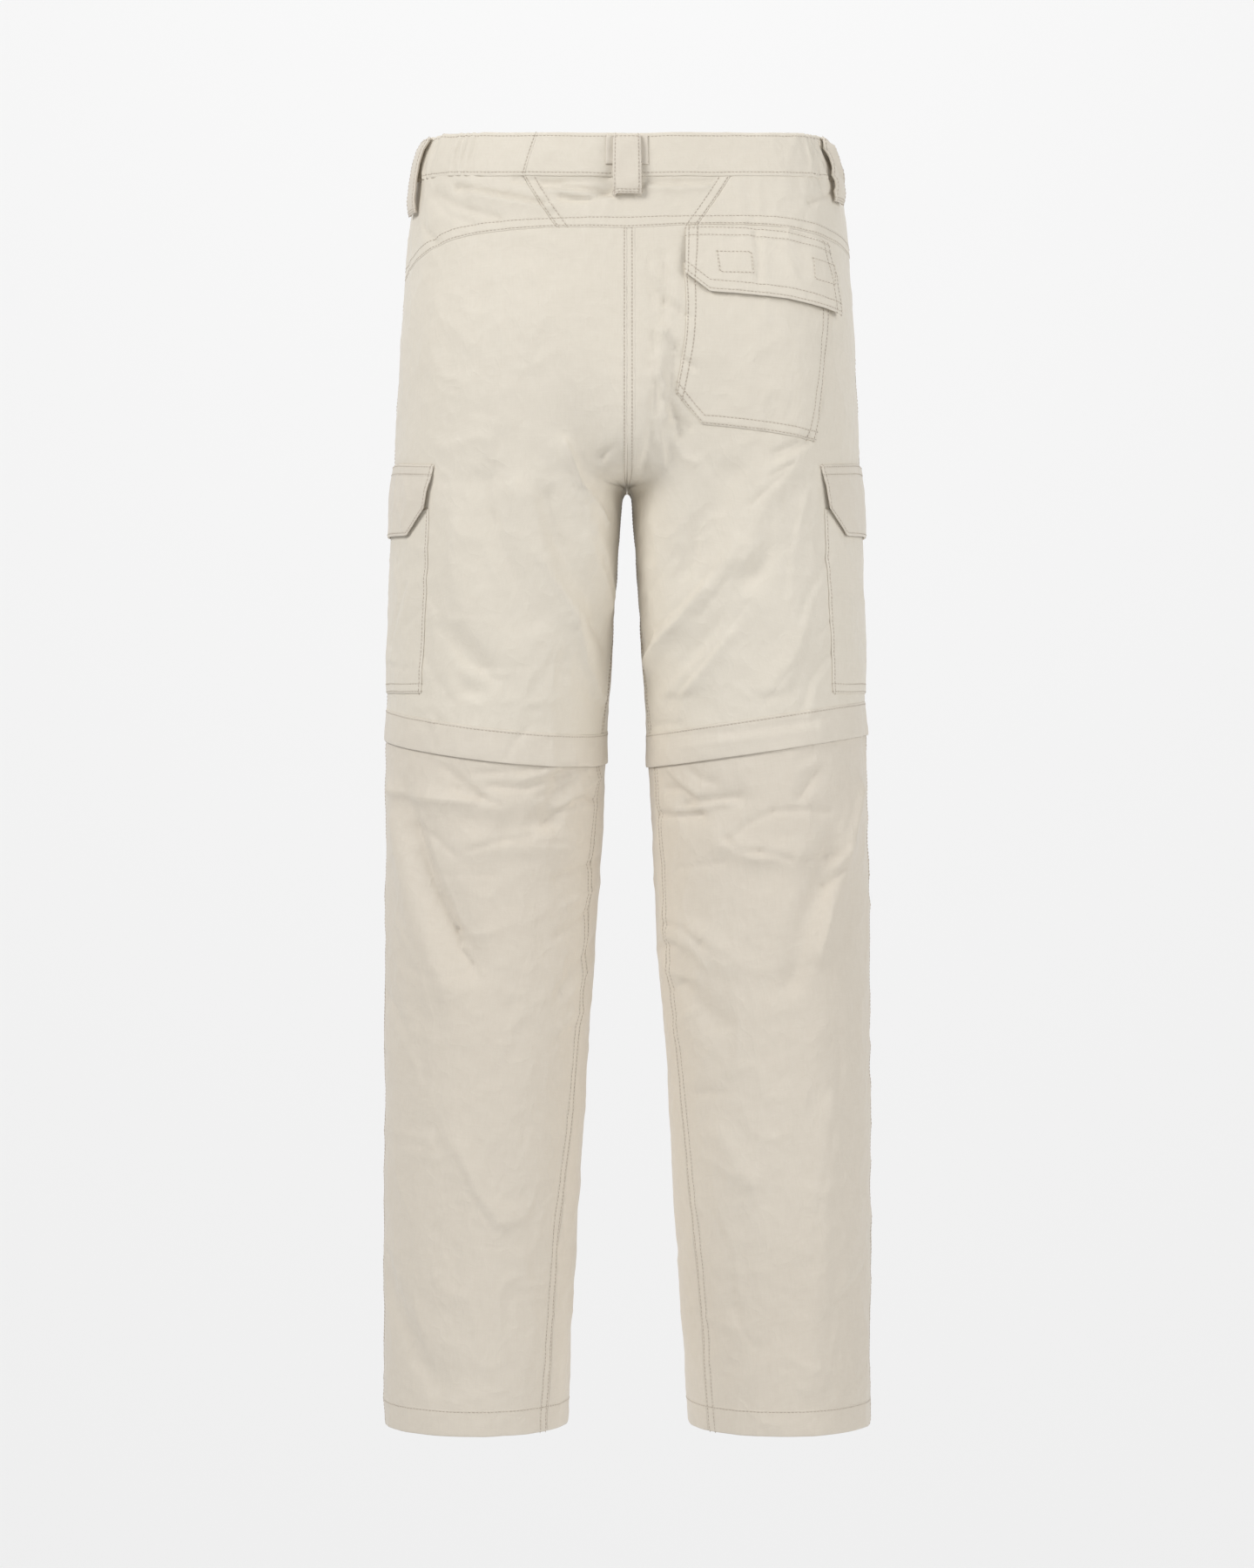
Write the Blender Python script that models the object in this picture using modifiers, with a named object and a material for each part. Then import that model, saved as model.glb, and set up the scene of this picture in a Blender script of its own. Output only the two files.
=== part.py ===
"""Zip-off outdoor trousers, filled out as worn and held up at the waist.

Every piece of cloth is a thin wall on one shared surface. A point of that surface
is named by a leg, a turn and a height. The turn runs round a leg from 0 at the
inseam, or at the centre back seam above the crotch, by the outer side seam at 0.5,
to 1 at the inseam or the centre front seam. The back of the trousers faces +Y and
the wearer's left is +X. Sizes in the tables are millimetres, and heights are
measured from the middle of the waistband.
"""

import math
from collections import namedtuple

import bpy
import numpy as np

COLLECTION = "outdoor_trousers"
MM = 0.001
LEFT, RIGHT = 1, -1
SIDE_NAMES = {LEFT: "left", RIGHT: "right"}

# Thickness of the pieces and the air kept between them
CLOTH = 1.2
BAND_CLOTH = 2.2
LOOP_CLOTH = 2.2
FLAP_CLOTH = 1.6
SEAM_GAP = 0.7
LAYER_GAP = 0.7
BAND_LIFT = 0.6

# Heights of the main lines
BAND_HALF = 18.0
CROTCH = -258.0
HEM = -1038.0
CROTCH_HALF_GAP = 0.3

# Half ovals of the trunk: half width, and depth to the back and to the front
Trunk = namedtuple("Trunk", "height half_width back front")
TRUNK = (
    Trunk(34.0, 165.5, 118.0, 111.0),
    Trunk(14.0, 172.6, 121.0, 113.0),
    Trunk(-9.0, 178.2, 124.0, 115.0),
    Trunk(-37.0, 182.0, 127.5, 117.0),
    Trunk(-66.0, 184.4, 131.5, 119.0),
    Trunk(-95.0, 186.5, 136.0, 121.0),
    Trunk(-124.0, 188.6, 140.0, 123.0),
    Trunk(-154.0, 190.2, 142.5, 124.0),
    Trunk(-183.0, 191.6, 143.0, 124.0),
    Trunk(-212.0, 193.0, 141.0, 123.0),
    Trunk(-258.0, 194.6, 134.0, 120.0),
    Trunk(-330.0, 196.4, 122.0, 112.0),
    Trunk(-400.0, 198.4, 113.0, 104.0),
)
TRUNK_SQUARENESS = 0.055

# Ovals of a leg: its outer and inner side, half its depth and the middle's shift back
Leg = namedtuple("Leg", "height outer inner half_depth middle")
LEG = (
    Leg(-120.0, 188.3, CROTCH_HALF_GAP, 131.0, 8.0),
    Leg(-212.0, 193.0, CROTCH_HALF_GAP, 125.0, 5.0),
    Leg(CROTCH, 194.6, CROTCH_HALF_GAP, 118.5, 3.0),
    Leg(-264.0, 194.8, 3.4, 118.0, 2.5),
    Leg(-272.0, 195.0, 4.4, 117.0, 2.0),
    Leg(-300.0, 195.6, 6.0, 113.0, 0.5),
    Leg(-358.0, 197.0, 9.5, 106.0, -1.5),
    Leg(-416.0, 198.8, 13.1, 99.0, -2.5),
    Leg(-475.0, 200.4, 16.8, 92.5, -2.0),
    Leg(-577.0, 201.0, 22.8, 86.0, 0.0),
    Leg(-650.0, 201.8, 27.5, 83.0, 3.0),
    Leg(-723.0, 202.2, 32.0, 80.5, 5.0),
    Leg(-796.0, 202.7, 36.5, 78.0, 5.0),
    Leg(-869.0, 203.4, 40.9, 75.0, 4.0),
    Leg(-942.0, 204.0, 44.9, 72.0, 2.0),
    Leg(HEM, 204.0, 50.4, 68.0, 0.0),
)

# A leg is squarer beside the inseam, most at the crotch and no more below this height
LEG_SQUARENESS = 0.09
SQUARE_BOTTOM = -475.0
SQUARE_TURN = 0.25

# The inseam wanders to the back of the leg on its way down
Inseam = namedtuple("Inseam", "height shift")
INSEAM = (
    Inseam(CROTCH, 0.0),
    Inseam(-330.0, 0.012),
    Inseam(-430.0, 0.035),
    Inseam(-520.0, 0.052),
    Inseam(-650.0, 0.060),
    Inseam(-780.0, 0.078),
    Inseam(-900.0, 0.098),
    Inseam(HEM, 0.105),
)

# The trunk's oval turns into the leg's: sharply at the rise seams, softly elsewhere
RISE_TOP = -138.0
RISE_POWER = 4.5
SOFT_TOP = -120.0
SOFT_BOTTOM = -380.0
SOFT_TURN = 0.10

# The waist dips in the middle of the back and of the front
Waist = namedtuple("Waist", "turn rise")
WAIST = (
    Waist(0.0, 0.0),
    Waist(0.15, 2.5),
    Waist(0.35, 8.0),
    Waist(0.5, 10.0),
    Waist(0.75, 2.0),
    Waist(1.0, -8.0),
)

# The seam under the yoke, from the centre back to the side seam
YokeSeam = namedtuple("YokeSeam", "turn left right")
YOKE_SEAM = (
    YokeSeam(0.0, -59.5, -59.5),
    YokeSeam(0.08, -58.5, -56.5),
    YokeSeam(0.15, -60.5, -55.5),
    YokeSeam(0.21, -63.5, -56.5),
    YokeSeam(0.27, -69.0, -59.0),
    YokeSeam(0.33, -76.5, -62.5),
    YokeSeam(0.41, -84.0, -66.5),
    YokeSeam(0.5, -87.0, -70.0),
)
YOKE_SPLIT_TOP = 0.128
YOKE_SPLIT_BOTTOM = 0.081

# The knee zip runs round each leg in a tilted plane under a cover strip
Zip = namedtuple("Zip", "leg height outward backward strip")
ZIPS = (
    Zip(LEFT, -462.0, 0.109, -0.100, 26.5),
    Zip(RIGHT, -464.5, 0.148, -0.020, 28.0),
)
ZIP_REACH = 12.0
STRIP_CLOTH = 1.2
STRIP_COLUMNS = 38

# Rows of cloth between a piece's edges
BACK_LEVELS = (-60, -84, -108, -132, -154, -176, -196, -213, -228, -240, -249, -255,
               -258, -264, -274, -290, -312, -336, -360, -386, -412, -442, -474)
FRONT_LEVELS = (-22, -42, -63) + BACK_LEVELS[1:]
LOWER_LEVELS = (-474, -490, -510, -532, -556, -582, -608, -634, -660, -686, -714, -744,
                -774, -804, -834, -866, -898, -930, -962, -992, -1015, HEM)
EASE_TOP = -140.0
EASE_BOTTOM = -330.0
LOWER_EASE = -560.0
PANEL_COLUMNS = 13
LOWER_COLUMNS = 11

# Main folds: millimetres of cloth from the side seam, minus to the back, and heights
Fold = namedtuple("Fold", "leg start start_height middle middle_height end end_height"
                          " width lift")
FOLDS = (
    # back of the left thigh
    Fold(LEFT, -222, -240, -238, -303, -268, -352, 13, 3.6),
    Fold(LEFT, -181, -270, -190, -318, -222, -364, 14, 3.4),
    Fold(LEFT, -204, -275, -214, -325, -244, -372, 10, -2.8),
    Fold(LEFT, -222, -364, -240, -400, -262, -436, 12, 2.4),
    Fold(LEFT, -150, -262, -152, -320, -168, -372, 16, -2.6),
    Fold(LEFT, -96, -352, -116, -385, -140, -409, 10, -2.8),
    Fold(LEFT, -86, -396, -108, -418, -130, -430, 10, -2.2),
    Fold(LEFT, -122, -300, -112, -340, -96, -372, 14, 2.4),
    # back of the right thigh
    Fold(RIGHT, -258, -402, -209, -358, -172, -320, 13, 3.8),
    Fold(RIGHT, -172, -320, -160, -277, -138, -248, 12, 2.8),
    Fold(RIGHT, -228, -436, -187, -394, -164, -353, 12, 3.0),
    Fold(RIGHT, -216, -330, -200, -290, -186, -256, 13, -2.6),
    Fold(RIGHT, -208, -402, -176, -366, -150, -318, 9, -2.4),
    Fold(RIGHT, -140, -431, -117, -390, -98, -342, 11, 2.6),
    Fold(RIGHT, -119, -439, -103, -406, -92, -377, 9, -2.2),
    # back of the left lower leg
    Fold(LEFT, -61, -518, -88, -584, -124, -652, 13, -4.2),
    Fold(LEFT, -40, -536, -64, -600, -98, -668, 13, 3.0),
    Fold(LEFT, -32, -508, -115, -519, -147, -521, 9, 2.6),
    Fold(LEFT, -207, -497, -190, -532, -150, -545, 10, -2.4),
    Fold(LEFT, -123, -555, -161, -549, -216, -555, 11, 2.4),
    Fold(LEFT, -108, -803, -124, -832, -143, -859, 12, 2.2),
    Fold(LEFT, -29, -921, -60, -962, -85, -994, 12, -2.6),
    # back of the right lower leg
    Fold(RIGHT, -42, -512, -68, -570, -92, -640, 13, 3.8),
    Fold(RIGHT, -78, -560, -98, -610, -112, -664, 12, -3.2),
    Fold(RIGHT, -231, -495, -200, -530, -161, -516, 11, -2.4),
    Fold(RIGHT, -173, -553, -149, -560, -112, -562, 10, 2.4),
    Fold(RIGHT, -235, -620, -190, -632, -166, -648, 11, 2.4),
    Fold(RIGHT, -212, -667, -193, -683, -172, -700, 10, -2.0),
    Fold(RIGHT, -172, -791, -160, -808, -147, -827, 11, 2.2),
    Fold(RIGHT, -75, -772, -92, -886, -93, -992, 14, 2.4),
    # fronts
    Fold(LEFT, 236, -262, 190, -240, 136, -222, 13, 3.0),
    Fold(LEFT, 252, -300, 206, -296, 152, -270, 12, -2.8),
    Fold(LEFT, 240, -344, 196, -344, 150, -322, 12, 2.6),
    Fold(LEFT, 226, -430, 178, -418, 132, -426, 12, -2.4),
    Fold(LEFT, 236, -520, 176, -508, 110, -522, 12, 3.0),
    Fold(LEFT, 210, -556, 160, -566, 96, -556, 11, -2.4),
    Fold(LEFT, 186, -640, 146, -690, 120, -744, 13, 2.4),
    Fold(LEFT, 160, -860, 120, -900, 92, -950, 13, -2.2),
    Fold(RIGHT, 240, -258, 186, -232, 128, -220, 13, 2.8),
    Fold(RIGHT, 250, -292, 210, -288, 164, -262, 11, -2.6),
    Fold(RIGHT, 236, -356, 186, -340, 142, -346, 12, 2.6),
    Fold(RIGHT, 220, -424, 170, -428, 128, -414, 12, -2.2),
    Fold(RIGHT, 232, -512, 170, -520, 112, -506, 12, 2.8),
    Fold(RIGHT, 196, -560, 150, -548, 100, -562, 11, -2.6),
    Fold(RIGHT, 170, -660, 140, -704, 108, -740, 13, 2.4),
    Fold(RIGHT, 152, -840, 126, -890, 88, -930, 13, -2.2),
)

# Stretches of cloth that a pocket or a strip holds flat
Flat = namedtuple("Flat", "leg start end top bottom")
FLATS = (
    Flat(LEFT, -108, 94, -238, -430),
    Flat(RIGHT, -108, 94, -238, -430),
    Flat(LEFT, -400, 400, -434, -494),
    Flat(RIGHT, -400, 400, -434, -494),
)
FLAT_EASE = 22.0

# Folds fade out near the centre seams and the crotch, over this length
SEAM_FADE = 18.0
TRUNK_GIRTH = 1000.0

# Steps of turn and height that the direction out of the cloth is measured with
NORMAL_TURN = 0.002
NORMAL_HEIGHT = 1.5

# Step of turn that the cloth's length round the waist is measured with
SPEED_TURN = 0.02

# Lengths of cloth are measured on this grid
ARC_TURNS = np.linspace(0.0, 1.0, 129)
ARC_HEIGHTS = np.linspace(34.0, HEM, 135)

# Gathers of the waistband's elastic, at both sides
Gather = namedtuple("Gather", "leg start end waves")
GATHERS = (
    Gather(LEFT, 0.16, 0.60, 17),
    Gather(RIGHT, 0.24, 0.60, 14),
)
GATHER_LIFT = 0.8
GATHER_FADE = 8.0

# Waistband
BAND_SEAM_TOP = 0.113
BAND_SEAM_BOTTOM = 0.125
SLANT_FADE = 0.1
LAP = 36.0
LAP_RAMP = 40.0
WAIST_GIRTH = 990.0

# Tab behind the centre back loop
TAB_WIDTH = 34.0
TAB_TOP = 16.0
TAB_BOTTOM = -8.0
TAB_CLOTH = 1.0

# Belt loops: place round the waist, width, ends above the band's middle, and the
# thickness of what lies between the loop and the band
Loop = namedtuple("Loop", "name turn width top bottom under")
LOOPS = (
    Loop("loop_back_centre", 0.0, 23.0, 16.0, -33.0, TAB_CLOTH + LAYER_GAP),
    Loop("loop_side_left", 0.375, 20.0, 16.0, -46.0, GATHER_LIFT),
    Loop("loop_side_right", -0.365, 20.0, 16.0, -37.0, GATHER_LIFT),
    Loop("loop_front_left", 0.80, 14.0, 16.0, -33.0, 0.0),
    Loop("loop_front_right", -0.80, 14.0, 16.0, -33.0, 0.0),
)
LOOP_STAND = 2.3
LOOP_ROWS = (0.0, 0.08, 0.2, 0.35, 0.5, 0.65, 0.8, 0.92, 1.0)
LOOP_FOOT = 0.2

# Fly flap over the centre front, widths to the wearer's left and right of the seam
FLY_LEFT = 38.0
FLY_RIGHT = 7.0
FLY_BOTTOM = -178.0
FLY_ROUND = 34.0
FLY_ROUND_SHARE = 0.74
HIP_GIRTH = 1060.0
FLY_AIR = 1.0

BUTTON_RADIUS = 8.5
BUTTON_THICKNESS = 3.0
BUTTON_EDGE = 0.8
BUTTON_SIDES = 24

# Pieces sewn on a panel: each row is one column of cloth, from its top to its bottom.
# Places are millimetres of cloth from the side seam, minus to the back.
Column = namedtuple("Column", "top_place top bottom_place bottom")
BACK_POCKET = (
    Column(-224.0, -88.0, -237.0, -191.0),
    Column(-203.0, -88.0, -212.0, -216.0),
    Column(-176.0, -88.0, -183.0, -219.0),
    Column(-150.0, -88.0, -157.0, -222.0),
    Column(-124.0, -89.0, -135.0, -225.0),
    Column(-98.0, -91.0, -116.0, -228.0),
)
BACK_POCKET_FLAP = (
    Column(-217.0, -58.0, -225.0, -97.0),
    Column(-197.0, -57.0, -208.0, -112.0),
    Column(-168.0, -57.0, -174.0, -114.0),
    Column(-141.0, -58.5, -143.0, -116.0),
    Column(-115.0, -61.5, -118.0, -120.0),
    Column(-88.0, -65.5, -91.0, -125.0),
)
CARGO_POCKET = (
    Column(-99.0, -281.0, -81.0, -430.0),
    Column(-73.0, -281.0, -58.0, -430.0),
    Column(-47.0, -281.0, -36.0, -429.0),
    Column(-21.0, -281.0, -14.0, -429.0),
    Column(6.0, -280.0, 9.0, -428.0),
    Column(32.0, -280.0, 31.0, -428.0),
    Column(58.0, -280.0, 53.0, -427.0),
    Column(84.0, -280.0, 75.0, -427.0),
)
CARGO_FLAP = (
    Column(-108.0, -246.0, -97.0, -280.0),
    Column(-84.0, -244.0, -72.0, -301.0),
    Column(-52.0, -241.0, -44.0, -300.0),
    Column(-20.0, -239.0, -16.0, -299.0),
    Column(12.0, -238.0, 12.0, -298.0),
    Column(42.0, -239.0, 39.0, -298.0),
    Column(70.0, -240.0, 62.0, -299.0),
    Column(93.0, -242.0, 86.0, -279.0),
)
CARGO_BELLY = 2.4
POCKET_BELLY = 0.8
BELLY_POWER = 0.7
POCKET_AIR = 1.0
FLAP_STAND = 1.6
# Share of a flap, from its sewn top, where it rises over the pocket's edge
FLAP_STEP = 0.5
POCKET_ROWS = 9
FLAP_ROWS = 4
PATCH_SPLIT = 2

Finish = namedtuple("Finish", "red green blue roughness")
BEIGE = Finish(0.74, 0.66, 0.55, 0.78)
BEIGE_LEG = Finish(0.70, 0.62, 0.51, 0.78)
BEIGE_TRIM = Finish(0.68, 0.60, 0.49, 0.80)
BUTTON_BROWN = Finish(0.36, 0.29, 0.22, 0.45)


def ease(share):
    """Smooth step from 0 to 1."""
    share = np.clip(share, 0.0, 1.0)
    return share * share * (3.0 - 2.0 * share)


def curve(table, column, at):
    """Value of a table's column on a smooth line through its rows that never overshoots.

    The table's first column is the one that at is measured in.
    """
    rows = sorted(table, key=lambda row: row[0])
    knots = np.array([row[0] for row in rows])
    values = np.array([getattr(row, column) for row in rows])
    rises = np.diff(values) / np.diff(knots)
    product = rises[:-1] * rises[1:]
    total = np.where(product > 0.0, rises[:-1] + rises[1:], 1.0)
    inner = np.where(product > 0.0, 2.0 * product / total, 0.0)
    slopes = np.concatenate((rises[:1], inner, rises[-1:]))
    at = np.clip(at, knots[0], knots[-1])
    low = np.clip(np.searchsorted(knots, at) - 1, 0, len(knots) - 2)
    span = knots[low + 1] - knots[low]
    share = (at - knots[low]) / span
    start = (2.0 * share**3 - 3.0 * share**2 + 1.0) * values[low]
    start_slope = (share**3 - 2.0 * share**2 + share) * span * slopes[low]
    end = (3.0 * share**2 - 2.0 * share**3) * values[low + 1]
    end_slope = (share**3 - share**2) * span * slopes[low + 1]
    return start + start_slope + end + end_slope


def trunk_oval(turn, height):
    """The trunk's half oval, a little squarer than an ellipse."""
    angle = math.pi * turn
    square = TRUNK_SQUARENESS
    width = curve(TRUNK, "half_width", height)
    back = curve(TRUNK, "back", height)
    front = curve(TRUNK, "front", height)
    depth = np.where(turn < 0.5, back, front)
    x = width * (np.sin(angle) + square * np.sin(3.0 * angle)) / (1.0 - square)
    y = depth * (np.cos(angle) - square * np.cos(3.0 * angle)) / (1.0 - square)
    return x, y


def leg_oval(turn, height):
    """The leg's oval, turned so that its inseam wanders to the back."""
    shift = curve(INSEAM, "shift", height)
    angle = 2.0 * math.pi * (turn + shift * np.abs(1.0 - 2.0 * turn))
    outer = curve(LEG, "outer", height)
    inner = curve(LEG, "inner", height)
    half_width = (outer - inner) / 2.0
    half_depth = curve(LEG, "half_depth", height)
    square = ease(1.0 - np.minimum(turn, 1.0 - turn) / SQUARE_TURN) * LEG_SQUARENESS
    square = square * ease((height - SQUARE_BOTTOM) / (CROTCH - SQUARE_BOTTOM))
    across = (np.cos(angle) - square * np.cos(3.0 * angle)) / (1.0 - square)
    deep = (np.sin(angle) + square * np.sin(3.0 * angle)) / (1.0 - square)
    x = inner + half_width * (1.0 - across)
    y = curve(LEG, "middle", height) + half_depth * deep
    return x, y


def leg_share(turn, height):
    """How far the trunk's oval has turned into the leg's, from 0 to 1."""
    drop = np.clip((RISE_TOP - height) / (RISE_TOP - CROTCH), 0.0, 1.0)
    sharp = 1.0 - (1.0 - drop**RISE_POWER) ** (1.0 / RISE_POWER)
    soft = ease((SOFT_TOP - height) / (SOFT_TOP - SOFT_BOTTOM))
    away = ease(np.minimum(turn, 1.0 - turn) / SOFT_TURN)
    return sharp * (1.0 - away) + soft * away


def smooth_surface(leg, turn, height):
    """Points of the unfolded cloth's outer face, as an array of x, y and z."""
    leg, turn, height = np.broadcast_arrays(leg, np.asarray(turn, float), height)
    trunk_x, trunk_y = trunk_oval(turn, height)
    leg_x, leg_y = leg_oval(turn, height)
    share = leg_share(turn, height)
    x = trunk_x * (1.0 - share) + leg_x * share
    y = trunk_y * (1.0 - share) + leg_y * share
    return np.stack((leg * x, y, height), axis=-1)


def outward(leg, turn, height):
    """Unit vectors that point out of the cloth."""
    low = np.clip(turn - NORMAL_TURN, 0.0, 1.0)
    high = np.clip(turn + NORMAL_TURN, 0.0, 1.0)
    round_way = smooth_surface(leg, high, height) - smooth_surface(leg, low, height)
    up = smooth_surface(leg, turn, height + NORMAL_HEIGHT)
    down = smooth_surface(leg, turn, height - NORMAL_HEIGHT)
    normal = np.cross(up - down, round_way) * np.asarray(leg)[..., None]
    return normal / np.linalg.norm(normal, axis=-1, keepdims=True)


def arc_table():
    """Lengths of cloth from the side seam, minus to the back, by height and turn."""
    ring = smooth_surface(LEFT, ARC_TURNS[None, :], ARC_HEIGHTS[:, None])
    steps = np.linalg.norm(np.diff(ring, axis=1), axis=2)
    arcs = np.concatenate((np.zeros((len(ARC_HEIGHTS), 1)), np.cumsum(steps, axis=1)), axis=1)
    return arcs - arcs[:, [len(ARC_TURNS) // 2]]


ARCS = arc_table()


def arc_rows(height):
    """The two rows of the arc table beside a height, and the share of the second."""
    at = (ARC_HEIGHTS[0] - np.asarray(height, float)) / (ARC_HEIGHTS[0] - ARC_HEIGHTS[1])
    at = np.clip(at, 0.0, len(ARC_HEIGHTS) - 1.001)
    row = at.astype(int)
    return row, at - row


def from_side(turn, height):
    """Length of cloth from the side seam to a turn, minus to the back."""
    turn, height = np.broadcast_arrays(np.asarray(turn, float), height)
    row, down = arc_rows(height)
    at = np.clip(turn, 0.0, 1.0) * (len(ARC_TURNS) - 1.001)
    column = at.astype(int)
    on = at - column
    upper = ARCS[row, column] * (1.0 - on) + ARCS[row, column + 1] * on
    lower = ARCS[row + 1, column] * (1.0 - on) + ARCS[row + 1, column + 1] * on
    return upper * (1.0 - down) + lower * down


def turn_at(distance, height):
    """Turn that lies a length of cloth from the side seam."""
    distance, height = np.broadcast_arrays(np.asarray(distance, float), height)
    row, down = arc_rows(height)
    turns = [np.interp(length, ARCS[i] * (1.0 - share) + ARCS[i + 1] * share, ARC_TURNS)
             for length, i, share in zip(distance.flat, row.flat, down.flat)]
    return np.array(turns).reshape(distance.shape)


def half_turns(width, turn):
    """Turns that half a width of cloth takes at the waist, at a turn of either side."""
    low = np.clip(abs(turn) - SPEED_TURN, 0.0, 1.0)
    high = np.clip(abs(turn) + SPEED_TURN, 0.0, 1.0)
    length = from_side(high, 0.0) - from_side(low, 0.0)
    return width / 2.0 * (high - low) / length


def fold_lift(leg, turn, height):
    """How far the folds lift the cloth, less than nothing in a trough."""
    lift = np.zeros(np.broadcast(leg, turn, height).shape)
    place = from_side(turn, height)
    around = from_side(1.0, height) - from_side(0.0, height)
    for fold in FOLDS:
        first = stretch(place, height, around, fold.start, fold.start_height,
                        fold.middle, fold.middle_height)
        second = stretch(place, height, around, fold.middle, fold.middle_height,
                         fold.end, fold.end_height)
        near = np.exp(-np.minimum(first, second) / fold.width**2)
        lift = lift + np.where(leg == fold.leg, fold.lift * near, 0.0)
    from_seam = np.minimum(turn, 1.0 - turn) * TRUNK_GIRTH / 2.0
    from_seam = from_seam + np.maximum(CROTCH - height, 0.0)
    lift = lift * ease(from_seam / SEAM_FADE)
    for flat in FLATS:
        past = np.maximum(flat.start - place, place - flat.end)
        past = np.maximum(past, np.maximum(height - flat.top, flat.bottom - height))
        lift = np.where(leg == flat.leg, lift * ease(past / FLAT_EASE), lift)
    return lift


def stretch(place, height, around, start, start_height, end, end_height):
    """Square of the distance along the cloth from a straight stretch of a fold."""
    off = (place - start + around / 2.0) % around - around / 2.0
    run = end - start
    fall = end_height - start_height
    along = off * run + (height - start_height) * fall
    along = np.clip(along / (run * run + fall * fall), 0.0, 1.0)
    aside = off - along * run
    above = height - start_height - along * fall
    return aside * aside + above * above


def cloth(leg, turn, height, lift=0.0):
    """Points of the folded cloth, lifted off its outer face."""
    leg, turn, height = np.broadcast_arrays(leg, np.asarray(turn, float), height)
    rise = lift + fold_lift(leg, turn, height)
    base = smooth_surface(leg, turn, height)
    return base + outward(leg, turn, height) * np.asarray(rise)[..., None]


def around_waist(turn, height, lift=0.0):
    """Cloth points where the turn runs on over the centre seams, left side positive."""
    turn = (np.asarray(turn, float) + 1.0) % 2.0 - 1.0
    leg = np.where(turn < 0.0, RIGHT, LEFT)
    return cloth(leg, np.abs(turn), height, lift)


def waist_rise(turn):
    """How far the waist is above its middle height, at a turn of either side."""
    plain = np.abs((np.asarray(turn, float) + 1.0) % 2.0 - 1.0)
    return curve(WAIST, "rise", plain)


def zip_height(leg, turn):
    """Height of the cover strip's top edge."""
    line = next(row for row in ZIPS if row.leg == leg)
    point = smooth_surface(leg, turn, line.height)
    return line.height + line.outward * np.abs(point[..., 0]) + line.backward * point[..., 1]


def draw_in(grid, sides):
    """Pulls the named edges of a piece back along the cloth by half a seam's gap."""
    edges = {
        "top": (np.s_[0], np.s_[1]),
        "bottom": (np.s_[-1], np.s_[-2]),
        "start": (np.s_[:, 0], np.s_[:, 1]),
        "end": (np.s_[:, -1], np.s_[:, -2]),
    }
    grid = grid.copy()
    for side in sides:
        edge, inner = edges[side]
        step = grid[inner] - grid[edge]
        length = np.linalg.norm(step, axis=-1, keepdims=True)
        grid[edge] += step / length * (SEAM_GAP / 2.0)
    return grid


def finish_material(name, finish):
    """A plain material for one piece."""
    material = bpy.data.materials.new(name + "_finish")
    material.use_nodes = True
    shader = material.node_tree.nodes["Principled BSDF"]
    colour = (finish.red, finish.green, finish.blue, 1.0)
    shader.inputs["Base Color"].default_value = colour
    shader.inputs["Roughness"].default_value = finish.roughness
    shader.inputs["Metallic"].default_value = 0.0
    material.diffuse_color = colour
    return material


def wall(name, grid, thickness, finish, turned=False, ring=False):
    """A cloth wall: a grid of outer points, made thick inwards."""
    rows, columns = grid.shape[:2]
    count = columns if ring else columns - 1
    quads = []
    for row in range(rows - 1):
        for column in range(count):
            after = (column + 1) % columns
            quad = (row * columns + column, row * columns + after,
                    (row + 1) * columns + after, (row + 1) * columns + column)
            quads.append(quad[::-1] if turned else quad)
    mesh = bpy.data.meshes.new(name)
    mesh.from_pydata((grid.reshape(-1, 3) * MM).tolist(), [], quads)
    mesh.materials.append(finish_material(name, finish))
    mesh.shade_smooth()
    piece = bpy.data.objects.new(name, mesh)
    bpy.data.collections[COLLECTION].objects.link(piece)
    thicken = piece.modifiers.new("Cloth", "SOLIDIFY")
    thicken.thickness = thickness * MM
    thicken.offset = -1.0
    return piece


def panel_heights(levels, top, bottom, ease_top, ease_bottom):
    """Heights of a panel's rows, easing from its top edge to level rows to its bottom edge."""
    levels = np.array(levels, float)[:, None]
    upper = np.clip((levels - ease_top) / (levels[0] - ease_top), 0.0, 1.0)
    lower = np.clip((ease_bottom - levels) / (ease_bottom - levels[-1]), 0.0, 1.0)
    return levels + (top - levels[0]) * upper + (bottom - levels[-1]) * lower


def upper_panels():
    """Back and front of both upper legs, from the yoke or the waistband to the knee zip."""
    for leg in (LEFT, RIGHT):
        side = SIDE_NAMES[leg]
        for face, levels in (("back", BACK_LEVELS), ("front", FRONT_LEVELS)):
            ends = (0.0, 0.5) if face == "back" else (0.5, 1.0)
            turns = np.linspace(*ends, PANEL_COLUMNS + 1)
            if face == "back":
                top = curve(YOKE_SEAM, side, turns)
            else:
                top = waist_rise(turns) - BAND_HALF
            bottom = zip_height(leg, turns) - ZIP_REACH
            heights = panel_heights(levels, top, bottom, EASE_TOP, EASE_BOTTOM)
            grid = cloth(leg, turns[None, :], heights)
            grid = draw_in(grid, ("top", "bottom", "start", "end"))
            wall(f"upper_{face}_{side}", grid, CLOTH, BEIGE, turned=leg == RIGHT)


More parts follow.
